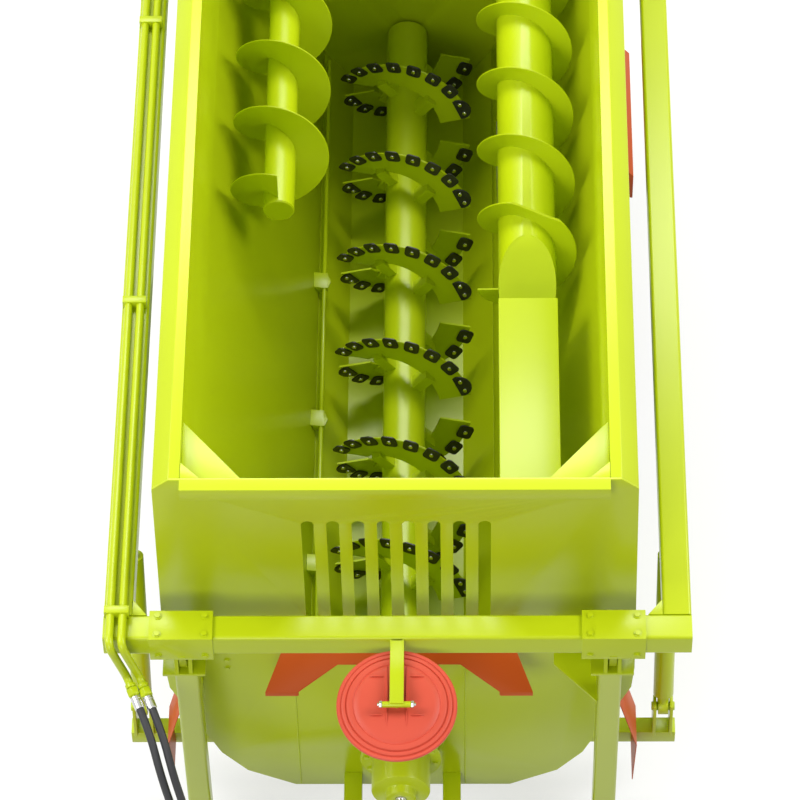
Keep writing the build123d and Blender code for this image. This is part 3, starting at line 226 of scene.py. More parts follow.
def smooth(obj, degrees=35.0):
    """Smooth shading with creases kept sharp."""
    bm = bmesh.new()
    bm.from_mesh(obj.data)
    limit = math.radians(degrees)
    for face in bm.faces:
        face.smooth = True
    for edge in bm.edges:
        edge.smooth = len(edge.link_faces) == 2 and edge.calc_face_angle(0.0) < limit
    bm.to_mesh(obj.data)
    bm.free()
    return obj


def swept(points, radius, steps=20):
    """Round tube through the points, closed at both ends."""
    verts = []
    faces = []
    side = Vector((1, 0, 0))
    for i, point in enumerate(points):
        before = points[max(i - 1, 0)]
        after = points[min(i + 1, len(points) - 1)]
        run = (after - before).normalized()
        side = (side - run * side.dot(run)).normalized()
        up = run.cross(side)
        for k in range(steps):
            angle = 2 * math.pi * k / steps
            verts.append(point + side * (radius * math.cos(angle)) + up * (radius * math.sin(angle)))
    for i in range(len(points) - 1):
        for k in range(steps):
            n = (k + 1) % steps
            faces.append((i * steps + k, i * steps + n, (i + 1) * steps + n, (i + 1) * steps + k))
    faces.append(tuple(range(steps))[::-1])
    faces.append(tuple((len(points) - 1) * steps + k for k in range(steps)))
    return verts, faces


FERRULE_LENGTH = 0.058
FERRULE_SIDES = 24
# Pressed sleeve as (along, radius), with a ridge near its upper end
FERRULE = [(0.0, 0.0185), (0.002, 0.0215), (0.014, 0.0215), (0.016, 0.0200), (0.020, 0.0200),
           (0.022, 0.0215), (0.054, 0.0215), (0.057, 0.0195), (FERRULE_LENGTH, 0.0172)]


def ferrule(node, curve):
    """Steel sleeve on the hose's first stretch, along points read from the hose's own spline."""
    bare = bpy.data.objects.new(node + "_line", curve.copy())
    bare.data.bevel_depth = 0.0
    bpy.context.scene.collection.objects.link(bare)
    bpy.context.view_layer.update()
    line = bpy.data.meshes.new_from_object(bare.evaluated_get(bpy.context.evaluated_depsgraph_get()))
    points = [vert.co.copy() for vert in line.vertices]
    bpy.data.objects.remove(bare)
    start = points[0]
    ahead = next(point for point in points if (point - start).length > FERRULE_LENGTH)
    way = (ahead - start).normalized()
    # Swept with a radius of one metre, then each ring is drawn in to its own radius
    verts, faces = swept([start + way * along for along, radius in FERRULE], 1.0, FERRULE_SIDES)
    for i, (along, radius) in enumerate(FERRULE):
        centre = start + way * along
        for k in range(FERRULE_SIDES * i, FERRULE_SIDES * (i + 1)):
            verts[k] = centre + (verts[k] - centre) * radius
    obj = smooth(outward(mesh_object(node + "_ferrule", verts, faces, bright_steel)), 30)
    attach(obj, "wagon")
    return obj


def lay_hose(node, facts):
    """One free hose as a NURBS curve, with its ferrule."""
    pipe = Vector(facts["pipe"])
    holder = Vector((HOLDER_X, HOLDER_Y, facts["holder_z"]))
    route = [pipe + PIPE_LEAVE * HOSE_GAP, pipe + PIPE_LEAVE * FIRST_STRETCH]
    route += [pipe + Vector((x, y, z + lift)) for (x, y, z), lift in zip(HOSE_TURNS, facts["raised"])]
    route += [Vector((HOLDER_X - LAST_STRETCH, HOLDER_Y, facts["holder_z"])), holder]
    curve = bpy.data.curves.new(node + "_curve", "CURVE")
    curve.dimensions = "3D"
    curve.bevel_depth = HOSE_R
    curve.bevel_resolution = 5
    curve.resolution_u = 10
    curve.use_fill_caps = True
    spline = curve.splines.new("NURBS")
    spline.points.add(len(route) - 1)
    for point, place in zip(spline.points, route):
        point.co = (*place, 1.0)
    spline.order_u = 3
    spline.use_endpoint_u = True
    obj = bpy.data.objects.new(node + "_cord", curve)
    bpy.context.scene.collection.objects.link(obj)
    curve.materials.append(hose_rubber)
    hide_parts(node)
    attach(obj, "wagon")
    ferrule(node, curve)


for node, facts in HOSES.items():
    lay_hose(node, facts)


# Helpers for the solids and for new pieces
def applied(obj):
    """The object's modifiers turned into plain mesh."""
    depsgraph = bpy.context.evaluated_depsgraph_get()
    mesh = bpy.data.meshes.new_from_object(obj.evaluated_get(depsgraph))
    obj.modifiers.clear()
    old = obj.data
    obj.data = mesh
    bpy.data.meshes.remove(old)
    return obj


EASED_ANGLE = 28.0             # edges sharper than this are rounded, in degrees
MERGE = 2e-5                   # vertices nearer than this are one
FLAT_ANGLE = 0.6               # faces that meet at less are one, in degrees


def eased(obj, width):
    """Merges a solid's loose triangles into whole faces and rounds its sharp edges."""
    bm = bmesh.new()
    bm.from_mesh(obj.data)
    bmesh.ops.remove_doubles(bm, verts=bm.verts, dist=MERGE)
    bmesh.ops.dissolve_limit(bm, angle_limit=math.radians(FLAT_ANGLE), verts=bm.verts, edges=bm.edges)
    bm.to_mesh(obj.data)
    bm.free()
    bevel = obj.modifiers.new("edge", "BEVEL")
    bevel.width = width
    bevel.segments = 2
    bevel.limit_method = "ANGLE"
    bevel.angle_limit = math.radians(EASED_ANGLE)
    bevel.use_clamp_overlap = True
    applied(obj)
    return smooth(obj, EASED_ANGLE)


def stands_for(obj, node, *more):
    """Hides the nodes that a new piece replaces and attaches the piece to the first node's body."""
    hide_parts(node, *more)
    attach(obj, BODY_OF[node])
    return obj


def added(obj, body):
    """Attaches a small piece that stands for no node to the given body."""
    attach(obj, body)
    return obj


def dressed(node, width):
    """A copy of a solid with its edges eased, which stands for that node."""
    obj = bpy.data.objects.new(node + "_skin", frame["nodes"][node].data.copy())
    bpy.context.scene.collection.objects.link(obj)
    eased(obj, width)
    obj.data.materials.clear()
    obj.data.materials.append(SLOT_FINISH[SLOT_OF[node]])
    return stands_for(obj, node)


def lathe(profile, centre, axis, steps=64):
    """Verts and faces of a closed (along, radius) profile turned about an axis."""
    along = Vector(axis).normalized()
    side = along.orthogonal().normalized()
    up = along.cross(side)
    verts = []
    for i in range(steps):
        angle = 2 * math.pi * i / steps
        ray = side * math.cos(angle) + up * math.sin(angle)
        verts += [Vector(centre) + along * a + ray * r for a, r in profile]
    count = len(profile)
    faces = []
    for i in range(steps):
        for j in range(count):
            k = (j + 1) % count
            n = (i + 1) % steps
            faces.append((i * count + j, i * count + k, n * count + k, n * count + j))
    return verts, faces


def joined(parts):
    """Several (verts, faces) lists as one."""
    verts = []
    faces = []
    for some_verts, some_faces in parts:
        base = len(verts)
        verts += some_verts
        faces += [tuple(base + i for i in face) for face in some_faces]
    return verts, faces


def one_mesh(pieces):
    """Several objects' meshes in the first object."""
    bm = bmesh.new()
    for piece in pieces:
        bm.from_mesh(piece.data)
    bm.to_mesh(pieces[0].data)
    bm.free()
    for piece in pieces[1:]:
        bpy.data.objects.remove(piece)
    return pieces[0]


# The augers: smooth helical flights on their tubes
def helicoid(centre, inner, outer, y_start, turns, pitch, start_deg, thickness=FLIGHT_T, per_turn=44):
    """Verts and faces of a flight with an eased rim, round an axis along y at (x, z)."""
    steps = max(4, round(turns * per_turn))
    verts = []
    faces = []
    edge = thickness * 0.35
    ring = ((inner, 0.0), (outer - edge, 0.0), (outer, edge), (outer, thickness - edge),
            (outer - edge, thickness), (inner, thickness))
    for i in range(steps + 1):
        share = turns * i / steps
        angle = math.radians(start_deg + 360.0 * share)
        for radius, dy in ring:
            verts.append(Vector((centre[0] + radius * math.cos(angle), y_start + pitch * share + dy,
                                 centre[1] + radius * math.sin(angle))))
    count = len(ring)
    for i in range(steps):
        for j in range(count):
            k = (j + 1) % count
            faces.append((i * count + j, i * count + k, (i + 1) * count + k, (i + 1) * count + j))
    faces.append(tuple(range(count))[::-1])
    faces.append(tuple(steps * count + j for j in range(count)))
    return verts, faces


def tube_body(centre, radius, y0, y1, shaft_r, shaft0, shaft1):
    """Closed tube with eased rims and a shaft out of one or both ends."""
    ease = 0.006
    profile = [(shaft0, 0.0), (shaft0, shaft_r), (y0, shaft_r), (y0, radius - ease), (y0 + ease, radius),
               (y1 - ease, radius), (y1, radius - ease), (y1, shaft_r), (shaft1, shaft_r), (shaft1, 0.0)]
    return lathe(profile, (centre[0], 0.0, centre[1]), (0, 1, 0), 56)


def slanted(obj, point, normal):
    """Cuts the piece by a plane, drops what lies on the normal's side and closes the cut."""
    bm = bmesh.new()
    bm.from_mesh(obj.data)
    bmesh.ops.bisect_plane(bm, geom=bm.verts[:] + bm.edges[:] + bm.faces[:], plane_co=point, plane_no=normal,
                           clear_outer=True)
    rim = [edge for edge in bm.edges if edge.is_boundary]
    bmesh.ops.holes_fill(bm, edges=rim, sides=0)
    bm.to_mesh(obj.data)
    bm.free()
    return obj


FLIGHT_SUNK = 0.006            # how far a flight reaches into its tube
CUT_RISE = 0.020               # where the slanted end starts above the tube's underside


def upper_auger(node, joint, tube_r, margin, start_gap, cut=0.0):
    """One mixing auger; cut is the length of a slanted front end."""
    low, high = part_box(node)
    axis = joint_point(joint)
    centre = (axis.x, axis.z)
    y_end = REAR_IN - END_GAP
    length = y_end - low.y
    turns = (length - margin) / UPPER_PITCH
    flight = helicoid(centre, tube_r - FLIGHT_SUNK, UPPER_FLIGHT_R, low.y + start_gap, turns, UPPER_PITCH, 90)
    body = tube_body(centre, tube_r, low.y, y_end, SHAFT_R, low.y, high.y)
    pieces = []
    for verts, faces in (flight, body):
        piece = outward(mesh_object(node + "_smooth", verts, faces, green_paint))
        if cut:
            foot = Vector((axis.x, low.y, axis.z - tube_r + CUT_RISE))
            top = Vector((axis.x, low.y + cut, axis.z + tube_r))
            slope = (top - foot).normalized()
            slanted(piece, foot, Vector((0.0, -slope.z, slope.y)))
        pieces.append(piece)
    obj = one_mesh(pieces)
    return stands_for(smooth(obj), node)


FRONT_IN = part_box("tub_left_wall")[0].y
REAR_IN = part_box("tub_left_wall")[1].y
LEFT_START = 0.020             # where the flight starts behind the tube's front end
LEFT_MARGIN = 0.090            # tube without a flight, at both ends together
RIGHT_START = 0.040
RIGHT_MARGIN = 0.120
upper_auger("upper_left_auger", "upper_left_turn", LEFT_TUBE_R, LEFT_MARGIN, LEFT_START)
upper_auger("upper_right_auger", "upper_right_turn", RIGHT_TUBE_R, RIGHT_MARGIN, RIGHT_START, RIGHT_CUT)


def rounded_square(half, corner, steps=4):
    """Outline of a screwed-on knife."""
    points = []
    for cx, cy, start in ((1, 1, 0), (-1, 1, 90), (-1, -1, 180), (1, -1, 270)):
        for i in range(steps + 1):
            angle = math.radians(start + 90.0 * i / steps)
            points.append((cx * (half - corner) + corner * math.cos(angle),
                           cy * (half - corner) + corner * math.sin(angle)))
    return points


def half_moon(half_length, inner, outer, steps=9):
    """Outline of a leading knife: straight towards the tube, an arc outwards."""
    back = 0.016
    corner = 0.004
    rise = outer - inner - back
    points = [(inner, half_length - corner), (inner + back, half_length)]
    for i in range(1, steps):
        angle = math.pi * i / steps
        points.append((inner + back + rise * math.sin(angle), half_length * math.cos(angle)))
    return points + [(inner + back, -half_length), (inner, corner - half_length)]


def slab(outline, thickness, place, ease=0.002):
    """A flat plate of (u, v) points with eased edges, thickened both ways, moved by a matrix."""
    count = len(outline)
    middle_u = sum(u for u, v in outline) / count
    middle_v = sum(v for u, v in outline) / count
    half = thickness / 2
    verts = []
    for inset, w in ((ease, -half), (0.0, ease - half), (0.0, half - ease), (ease, half)):
        for u, v in outline:
            reach = math.hypot(u - middle_u, v - middle_v)
            keep = 1.0 - inset / reach
            spot = Vector((middle_u + (u - middle_u) * keep, w, middle_v + (v - middle_v) * keep))
            verts.append(place @ spot)
    faces = [tuple(range(count))[::-1], tuple(3 * count + i for i in range(count))]
    for r in range(3):
        for i in range(count):
            k = (i + 1) % count
            faces.append((r * count + i, r * count + k, (r + 1) * count + k, (r + 1) * count + i))
    return verts, faces


# The knife auger: short flights on pairs of arms, each with a row of knives and a longer leading one
ROW_MARGIN = 0.060             # first and last flight's distance from the tube's ends
LOWER_FLIGHT_T = 0.010
LOWER_FLIGHT_DEPTH = 0.150
FLIGHT_ARMS = (0.25, 0.75)     # shares of a flight at which its arms stand
FLIGHT_ARM_DEPTH = 0.120       # an arm's end inside the flight's rim
FLIGHT_ARM_SUNK = 0.008        # an arm's start inside the tube's face
FLIGHT_ARM_HALVES = (0.035, 0.025)
FIRST_KNIFE = 0.075            # the leading knife's share of a flight
KNIFE_START = 0.090
KNIFE_STEP = 0.121
KNIFE_SEAT = -0.005            # knife's middle before the flight's front face
KNIFE_CORNER = 0.018
LEAD_SCREWS = ((-0.006, -0.026), (-0.006, 0.026))
lower_axis = joint_point("lower_auger_turn")
lower_low, lower_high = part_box("lower_auger")
lower_y0 = FRONT_IN + END_GAP
lower_y1 = REAR_IN - END_GAP
lower_pitch = (lower_y1 - lower_y0 - 2 * ROW_MARGIN) / LOWER_TURNS
helix_turn = math.atan(lower_pitch / (2 * math.pi * LOWER_FLIGHT_R))
auger_parts = [tube_body((0.0, lower_axis.z), LOWER_TUBE_R, lower_y0, lower_y1, SHAFT_R,
                         lower_low.y, lower_high.y)]
knife_parts = []
bolt_parts = []


def radial(angle_deg, y, tilt=0.0):
    """Frame on the lower auger: x outwards, y along the auger, z round it."""
    return (Matrix.Translation((0.0, y, lower_axis.z)) @ Matrix.Rotation(math.radians(-angle_deg), 4, "Y")
            @ Matrix.Rotation(-tilt, 4, "X"))


def block(x0, x1, y_half, z_half, place):
    """An arm between tube and flight, moved by a matrix."""
    corners = [(x0, -y_half, -z_half), (x1, -y_half, -z_half), (x1, y_half, -z_half), (x0, y_half, -z_half),
               (x0, -y_half, z_half), (x1, -y_half, z_half), (x1, y_half, z_half), (x0, y_half, z_half)]
    faces = [(0, 3, 2, 1), (4, 5, 6, 7), (0, 1, 5, 4), (1, 2, 6, 5), (2, 3, 7, 6), (3, 0, 4, 7)]
    return [place @ Vector(c) for c in corners], faces


# Dome head on the front face of a knife and its nut behind the flight, as (along, radius)
BOLT_HEAD = [(-0.0105, 0.0), (-0.0105, 0.006), (-0.0085, 0.010), (-0.0035, 0.012), (0.018, 0.012),
             (0.018, 0.0)]

for i in range(SEGMENTS):
    y_seg = lower_y0 + ROW_MARGIN + lower_pitch * LOWER_TURNS * i / SEGMENTS
    start = 90.0 + 180.0 * i - 360 * SEGMENT_SHARE / 2
    auger_parts.append(helicoid((0.0, lower_axis.z), LOWER_FLIGHT_R - LOWER_FLIGHT_DEPTH, LOWER_FLIGHT_R,
                                y_seg, SEGMENT_SHARE, lower_pitch, start, LOWER_FLIGHT_T, 60))
    for arm_share in FLIGHT_ARMS:
        angle = start + 360 * SEGMENT_SHARE * arm_share
        y_arm = y_seg + lower_pitch * SEGMENT_SHARE * arm_share + LOWER_FLIGHT_T / 2
        auger_parts.append(block(LOWER_TUBE_R - FLIGHT_ARM_SUNK, LOWER_FLIGHT_R - FLIGHT_ARM_DEPTH,
                                 *FLIGHT_ARM_HALVES, radial(angle, y_arm)))
    for k in range(KNIVES):
        knife_share = FIRST_KNIFE if k == 0 else KNIFE_START + KNIFE_STEP * k
        angle = start + 360 * SEGMENT_SHARE * knife_share
        y_knife = y_seg + lower_pitch * SEGMENT_SHARE * knife_share
        place = radial(angle, y_knife, helix_turn) @ Matrix.Translation(
            (LOWER_FLIGHT_R + KNIFE_REACH - KNIFE / 2, KNIFE_SEAT, 0.0))
        if k == 0:
            outline = half_moon(LEAD_KNIFE / 2, -KNIFE / 2, KNIFE / 2)
            holes = LEAD_SCREWS
        else:
            outline = rounded_square(KNIFE / 2, KNIFE_CORNER)
            holes = ((0.0, 0.0),)
        knife_parts.append(slab(outline, KNIFE_T, place))
        for u, v in holes:
            verts, faces = lathe(BOLT_HEAD, (u, 0, v), (0, 1, 0), 12)
            bolt_parts.append(([place @ vert for vert in verts], faces))

verts, faces = joined(auger_parts)
stands_for(smooth(outward(mesh_object("lower_auger_smooth", verts, faces, green_paint))), "lower_auger")
verts, faces = joined(knife_parts)
stands_for(smooth(outward(mesh_object("auger_knives_eased", verts, faces, black_steel))), "auger_knives")
verts, faces = joined(bolt_parts)
screws = smooth(outward(mesh_object("knife_bolts", verts, faces, bright_steel)))
added(screws, "lower_auger")


SEAM_REACH = 1e-4


def front_wall_skin():
    """The front wall and the slotted panel in its window as one sheet, without the seam between them."""
    low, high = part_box("view_panel")
    bm = bmesh.new()
    for node in ("tub_front_wall", "view_panel"):
        bm.from_mesh(frame["nodes"][node].data)
    seam = []
    for face in bm.faces:
        for axis, level in ((0, low.x), (0, high.x), (2, low.z), (2, high.z)):
            flat = all(abs(vert.co[axis] - level) < SEAM_REACH for vert in face.verts)
            inside = all(low[k] - SEAM_REACH < vert.co[k] < high[k] + SEAM_REACH
                         for vert in face.verts for k in range(3))
            if flat and inside:
                seam.append(face)
                break
    bmesh.ops.delete(bm, geom=seam, context="FACES")
    mesh = bpy.data.meshes.new("front_wall_skin")
    bm.to_mesh(mesh)
    bm.free()
    obj = bpy.data.objects.new("front_wall_skin", mesh)
    bpy.context.scene.collection.objects.link(obj)
    eased(obj, 0.003)
    obj.data.materials.clear()
    obj.data.materials.append(green_paint)
    stands_for(obj, "tub_front_wall", "view_panel")


front_wall_skin()

# Solids that keep their shape, with the width of their eased edges
EASED = {"tub_rear_wall": 0.003, "tub_left_wall": 0.003, "tub_right_wall": 0.003,
         "trough_floor": 0.002, "corner_deflectors": 0.003, "counter_knives": 0.002,
         "auger_cover": 0.005, "auger_drive_case": 0.006, "loader_boom": 0.003, "drum_hood": 0.002,
         "drum_motor": 0.005, "column_left": 0.003, "column_right": 0.003,
         "front_cross_tube": 0.003, "axle": 0.006, "chassis_frame": 0.006, "drawbar": 0.006,
         "parking_jack": 0.004, "gearbox": 0.010, "discharge_door": 0.003, "door_guides": 0.002,
         "door_cylinder": 0.003, "discharge_hood": 0.0015, "front_guard": 0.0015, "side_guards": 0.0015,
         "hose_holder": 0.005, "lift_barrel_left": 0.004, "lift_barrel_right": 0.004,
         "lift_rod_left": 0.002, "lift_rod_right": 0.002, "pto_stub": 0.002, "milling_drum": 0.003,
         "wheel_left": 0.004, "wheel_right": 0.004}
for node, width in EASED.items():
    dressed(node, width)


# Tyres with a block tread
RIM_R = 0.210
TREAD_BLOCKS = 40
TREAD_DEPTH = 0.020


def tyre(node, joint):
    """Rounded carcass with two staggered rows of tread blocks."""
    hub = joint_point(joint)
    low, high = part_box(node)
    half = (high.x - low.x) / 2
    profile = [(-half + 0.015, RIM_R), (-half + 0.004, RIM_R + 0.020), (-half, RIM_R + 0.060),
               (-half, WHEEL_R - 0.090), (-half + 0.006, WHEEL_R - 0.050), (-half + 0.022, WHEEL_R - 0.026),
               (-half + 0.050, WHEEL_R - 0.016), (0.0, WHEEL_R - 0.012), (half - 0.050, WHEEL_R - 0.016),
               (half - 0.022, WHEEL_R - 0.026), (half - 0.006, WHEEL_R - 0.050), (half, WHEEL_R - 0.090),
               (half, RIM_R + 0.060), (half - 0.004, RIM_R + 0.020), (half - 0.015, RIM_R)]
    parts = [lathe(profile, hub, (1, 0, 0), 56)]
    for i in range(TREAD_BLOCKS):
        for side in (-1, 1):
            angle = 2 * math.pi * (i + 0.25 * side) / TREAD_BLOCKS
            turn = Matrix.Translation(hub) @ Matrix.Rotation(angle, 4, "X")
            outline = [(side * 0.006, -0.016), (side * 0.128, -0.006), (side * 0.138, 0.014),
                       (side * 0.010, 0.012)]
            if side < 0:
                outline.reverse()
            bottom = [(WHEEL_R - TREAD_DEPTH, x, y) for x, y in outline]
            top = [(WHEEL_R - (0.0 if abs(x) < 0.1 else 0.010), x * 0.985, y * 0.9) for x, y in outline]
            verts = [turn @ Vector((x, y, r)) for r, x, y in bottom + top]
            faces = [(3, 2, 1, 0), (4, 5, 6, 7)]
            faces += [(j, (j + 1) % 4, 4 + (j + 1) % 4, 4 + j) for j in range(4)]
            parts.append((verts, faces))
    verts, faces = joined(parts)
    obj = outward(mesh_object(node + "_treaded", verts, faces, tyre_rubber))
    return stands_for(smooth(obj, 32), node)


tyre("tyre_left", "wheel_left_turn")
tyre("tyre_right", "wheel_right_turn")


# Mirror back: a shell with stepped rings, two long ribs and four short ones
MIRROR_TILT = math.radians(82.0)
MIRROR_MIDDLE = Vector((0.0, -2.285, 1.790))
MIRROR_NORMAL = Vector((0.0, -math.cos(MIRROR_TILT), math.sin(MIRROR_TILT)))
RIB_MIDDLE = 0.034
RIB_FOOT = 0.016
RIB_TOP = 0.021
RIB_CROWN = 0.009
# Glass side, rim and rings of the shell as (along, radius), with a groove before each step
MIRROR_RINGS = [(-0.012, 0.0), (-0.012, 0.246), (-0.008, 0.250), (0.000, 0.250), (0.004, 0.246),
                (0.004, 0.236), (0.001, 0.232), (0.008, 0.228), (0.010, 0.224), (0.010, 0.214),
                (0.006, 0.211), (0.014, 0.206), (0.016, 0.200), (0.016, 0.184), (0.012, 0.179),
                (0.017, 0.172), (0.020, 0.150), (0.021, 0.060), (0.021, 0.0)]


def tapered_rib(x, y, half_x, half_y, place):
    """Rib that rises to its middle and thins towards both ends."""
    long_x = half_x > half_y
    verts = []
    faces = []
    for share in (-1.0, -0.7, 0.0, 0.7, 1.0):
        rise = RIB_TOP + RIB_CROWN * (1.0 - share * share)
        thin = 0.25 + 0.75 * (1.0 - share * share)
        for side, z in ((-1, RIB_FOOT), (1, RIB_FOOT), (0.5, rise), (-0.5, rise)):
            if long_x:
                spot = (x + share * half_x, y + side * half_y * thin, z)
            else:
                spot = (x + side * half_x * thin, y + share * half_y, z)
            verts.append(place @ Vector(spot))
    for i in range(4):
        for j in range(4):
            k = (j + 1) % 4
            faces.append((4 * i + j, 4 * i + k, 4 * i + 4 + k, 4 * i + 4 + j))
    faces += [(3, 2, 1, 0), (16, 17, 18, 19)]
    return verts, faces


def mirror_back():
    """The round shell with its rings and ribs, on its tilt."""
    parts = [lathe(MIRROR_RINGS, MIRROR_MIDDLE, MIRROR_NORMAL, 96)]
    across = Vector((1, 0, 0))
    along = MIRROR_NORMAL.cross(across).normalized()
    frame_of = Matrix((across, along, MIRROR_NORMAL)).transposed().to_4x4()
    # Each rib is its middle, x and y, and half its size along x and y
    ribs = [(side * 0.041, RIB_MIDDLE, 0.007, 0.135) for side in (-1, 1)]
    ribs += [(side * 0.083, RIB_MIDDLE + dy, 0.030, 0.005) for side in (-1, 1) for dy in (-0.088, 0.088)]
    place = Matrix.Translation(MIRROR_MIDDLE) @ frame_of
    for x, y, half_x, half_y in ribs:
        parts.append(tapered_rib(x, y, half_x, half_y, place))
    verts, faces = joined(parts)
    obj = outward(mesh_object("mirror_back", verts, faces, mirror_plastic))
    return stands_for(smooth(obj, 30), "mirror_dish")


mirror_back()


def bar(x0, x1, y0, y1, z0, z1):
    """A block between two corners."""
    corners = [(x0, y0, z0), (x1, y0, z0), (x1, y1, z0), (x0, y1, z0),
               (x0, y0, z1), (x1, y0, z1), (x1, y1, z1), (x0, y1, z1)]
    faces = [(0, 3, 2, 1), (4, 5, 6, 7), (0, 1, 5, 4), (1, 2, 6, 5), (2, 3, 7, 6), (3, 0, 4, 7)]
    return [Vector(c) for c in corners], faces


def merged_piece(name, parts, mat, width=0.002):
    """Closed parts joined in one mesh with eased edges."""
    pieces = [outward(mesh_object(name, verts, faces, mat)) for verts, faces in parts]
    return eased(one_mesh(pieces), width)


# Mirror's arm: flat tube from the beam, with a cross pin and its two nuts
ARM_HALF = 0.029
ARM_TOP = 1.869
ARM_LOW = 1.840
PIN_PLACE = (0.0, -2.318, 1.850)
PIN_HALF = 0.060
PIN_R = 0.013
BOSS_R = 0.022
BOSS_LENGTH = 0.040
BOSS_RISE = 0.020              # the boss starts above the mirror's middle
FOOT_HALF = 0.025
FOOT_T = 0.008


def mirror_holder():
    """Arm, foot plate on the beam, boss and pin in one, and the two nuts apart."""
    low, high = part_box("mirror_arm")
    wall = high.y
    boss = MIRROR_MIDDLE + MIRROR_NORMAL * BOSS_RISE
    parts = [bar(-ARM_HALF, ARM_HALF, low.y + 0.002, wall, ARM_LOW, ARM_TOP),
             bar(-FOOT_HALF, FOOT_HALF, wall - FOOT_T, wall, low.z, high.z),
             lathe([(0.0, 0.0), (0.0, BOSS_R), (BOSS_LENGTH, BOSS_R), (BOSS_LENGTH, 0.0)], boss,
                   MIRROR_NORMAL, 32),
             lathe([(-PIN_HALF, 0.0), (-PIN_HALF, PIN_R), (PIN_HALF, PIN_R), (PIN_HALF, 0.0)],
                   PIN_PLACE, (1, 0, 0), 24)]
    stands_for(merged_piece("mirror_arm_made", parts, green_paint), "mirror_arm")
    nuts = []
    for side in (-1, 1):
        nut = [(0.0, 0.0), (0.0, 0.016), (0.012, 0.016), (0.012, 0.008), (0.020, 0.007), (0.020, 0.0)]
        profile = [(side * (PIN_HALF + along), radius) for along, radius in nut]
        nuts.append(lathe(profile, PIN_PLACE, (1, 0, 0), 6))
    pin_nuts = merged_piece("mirror_pin_nuts", nuts, bright_steel, 0.001)
    added(pin_nuts, BODY_OF["mirror_arm"])


mirror_holder()

# Hydraulic pipes on the left rail, with their clamps and the nuts at their ends
PIPE_R = 0.018
PIPE_Z = 1.896
PIPE_XS = (-1.195, -1.143)
PIPE_CORNER_Y = -2.062
PIPE_FALL = 0.098              # straight stretch before the pipe's end
BEND_R = 0.050
RAIL_TOP = 1.875
CLAMP_YS = (-1.890, -0.250, 1.400)
CLAMP_HALF = 0.018
CLAMP_SIDE = 0.026             # how far a clamp reaches past the pipes' middle
CLAMP_RISE = 0.023
CLAMP_CAP = 0.0002
# Hexagon nut and its round collar at a pipe's end, as (along, radius)
PIPE_NUT = [(-0.040, 0.0), (-0.040, 0.022), (-0.036, 0.027), (-0.006, 0.027), (-0.003, 0.024), (-0.003, 0.0)]
PIPE_COLLAR = [(-0.060, 0.0), (-0.060, 0.023), (-0.042, 0.023), (-0.042, 0.0)]


def rounded_run(corners, radius, steps=8):
    """Points along straight runs with an arc at each corner, for rigid bent pipe."""
    points = [corners[0]]
    for before, corner, after in zip(corners, corners[1:], corners[2:]):
        into = (corner - before).normalized()
        out = (after - corner).normalized()
        reach = radius * math.tan(into.angle(out) / 2)
        a = corner - into * reach
        b = corner + out * reach
        for i in range(steps + 1):
            t = i / steps
            points.append(a.lerp(corner, t).lerp(corner.lerp(b, t), t))
    return points + [corners[-1]]


def boom_pipework():
    """Both pipes and their clamps in one, and the nuts apart."""
    pipe_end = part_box("boom_pipes")[1].y
    left, right = PIPE_XS
    parts = []
    nuts = []
    for x, facts in zip(PIPE_XS, HOSES.values()):
        end = Vector(facts["pipe"])
        corners = [Vector((x, pipe_end, PIPE_Z)), Vector((x, PIPE_CORNER_Y, PIPE_Z)),
                   end - PIPE_LEAVE * PIPE_FALL, end]
        parts.append(swept(rounded_run(corners, BEND_R), PIPE_R))
        nuts.append(lathe(PIPE_NUT, end, PIPE_LEAVE, 6))
        nuts.append(lathe(PIPE_COLLAR, end, PIPE_LEAVE, 24))
    for y in CLAMP_YS:
        parts.append(bar(left - CLAMP_SIDE, right + CLAMP_SIDE, y - CLAMP_HALF, y + CLAMP_HALF,
                         RAIL_TOP, PIPE_Z + CLAMP_RISE))
        parts.append(bar(left - 0.022, right + 0.022, y - 0.016, y + 0.016,
                         PIPE_Z + 0.022, PIPE_Z + CLAMP_RISE + CLAMP_CAP))
    stands_for(merged_piece("pipes_and_clamps", parts, green_paint, 0.0015), "boom_pipes")
    added(merged_piece("pipe_nuts", nuts, green_paint, 0.001), BODY_OF["boom_pipes"])


boom_pipework()


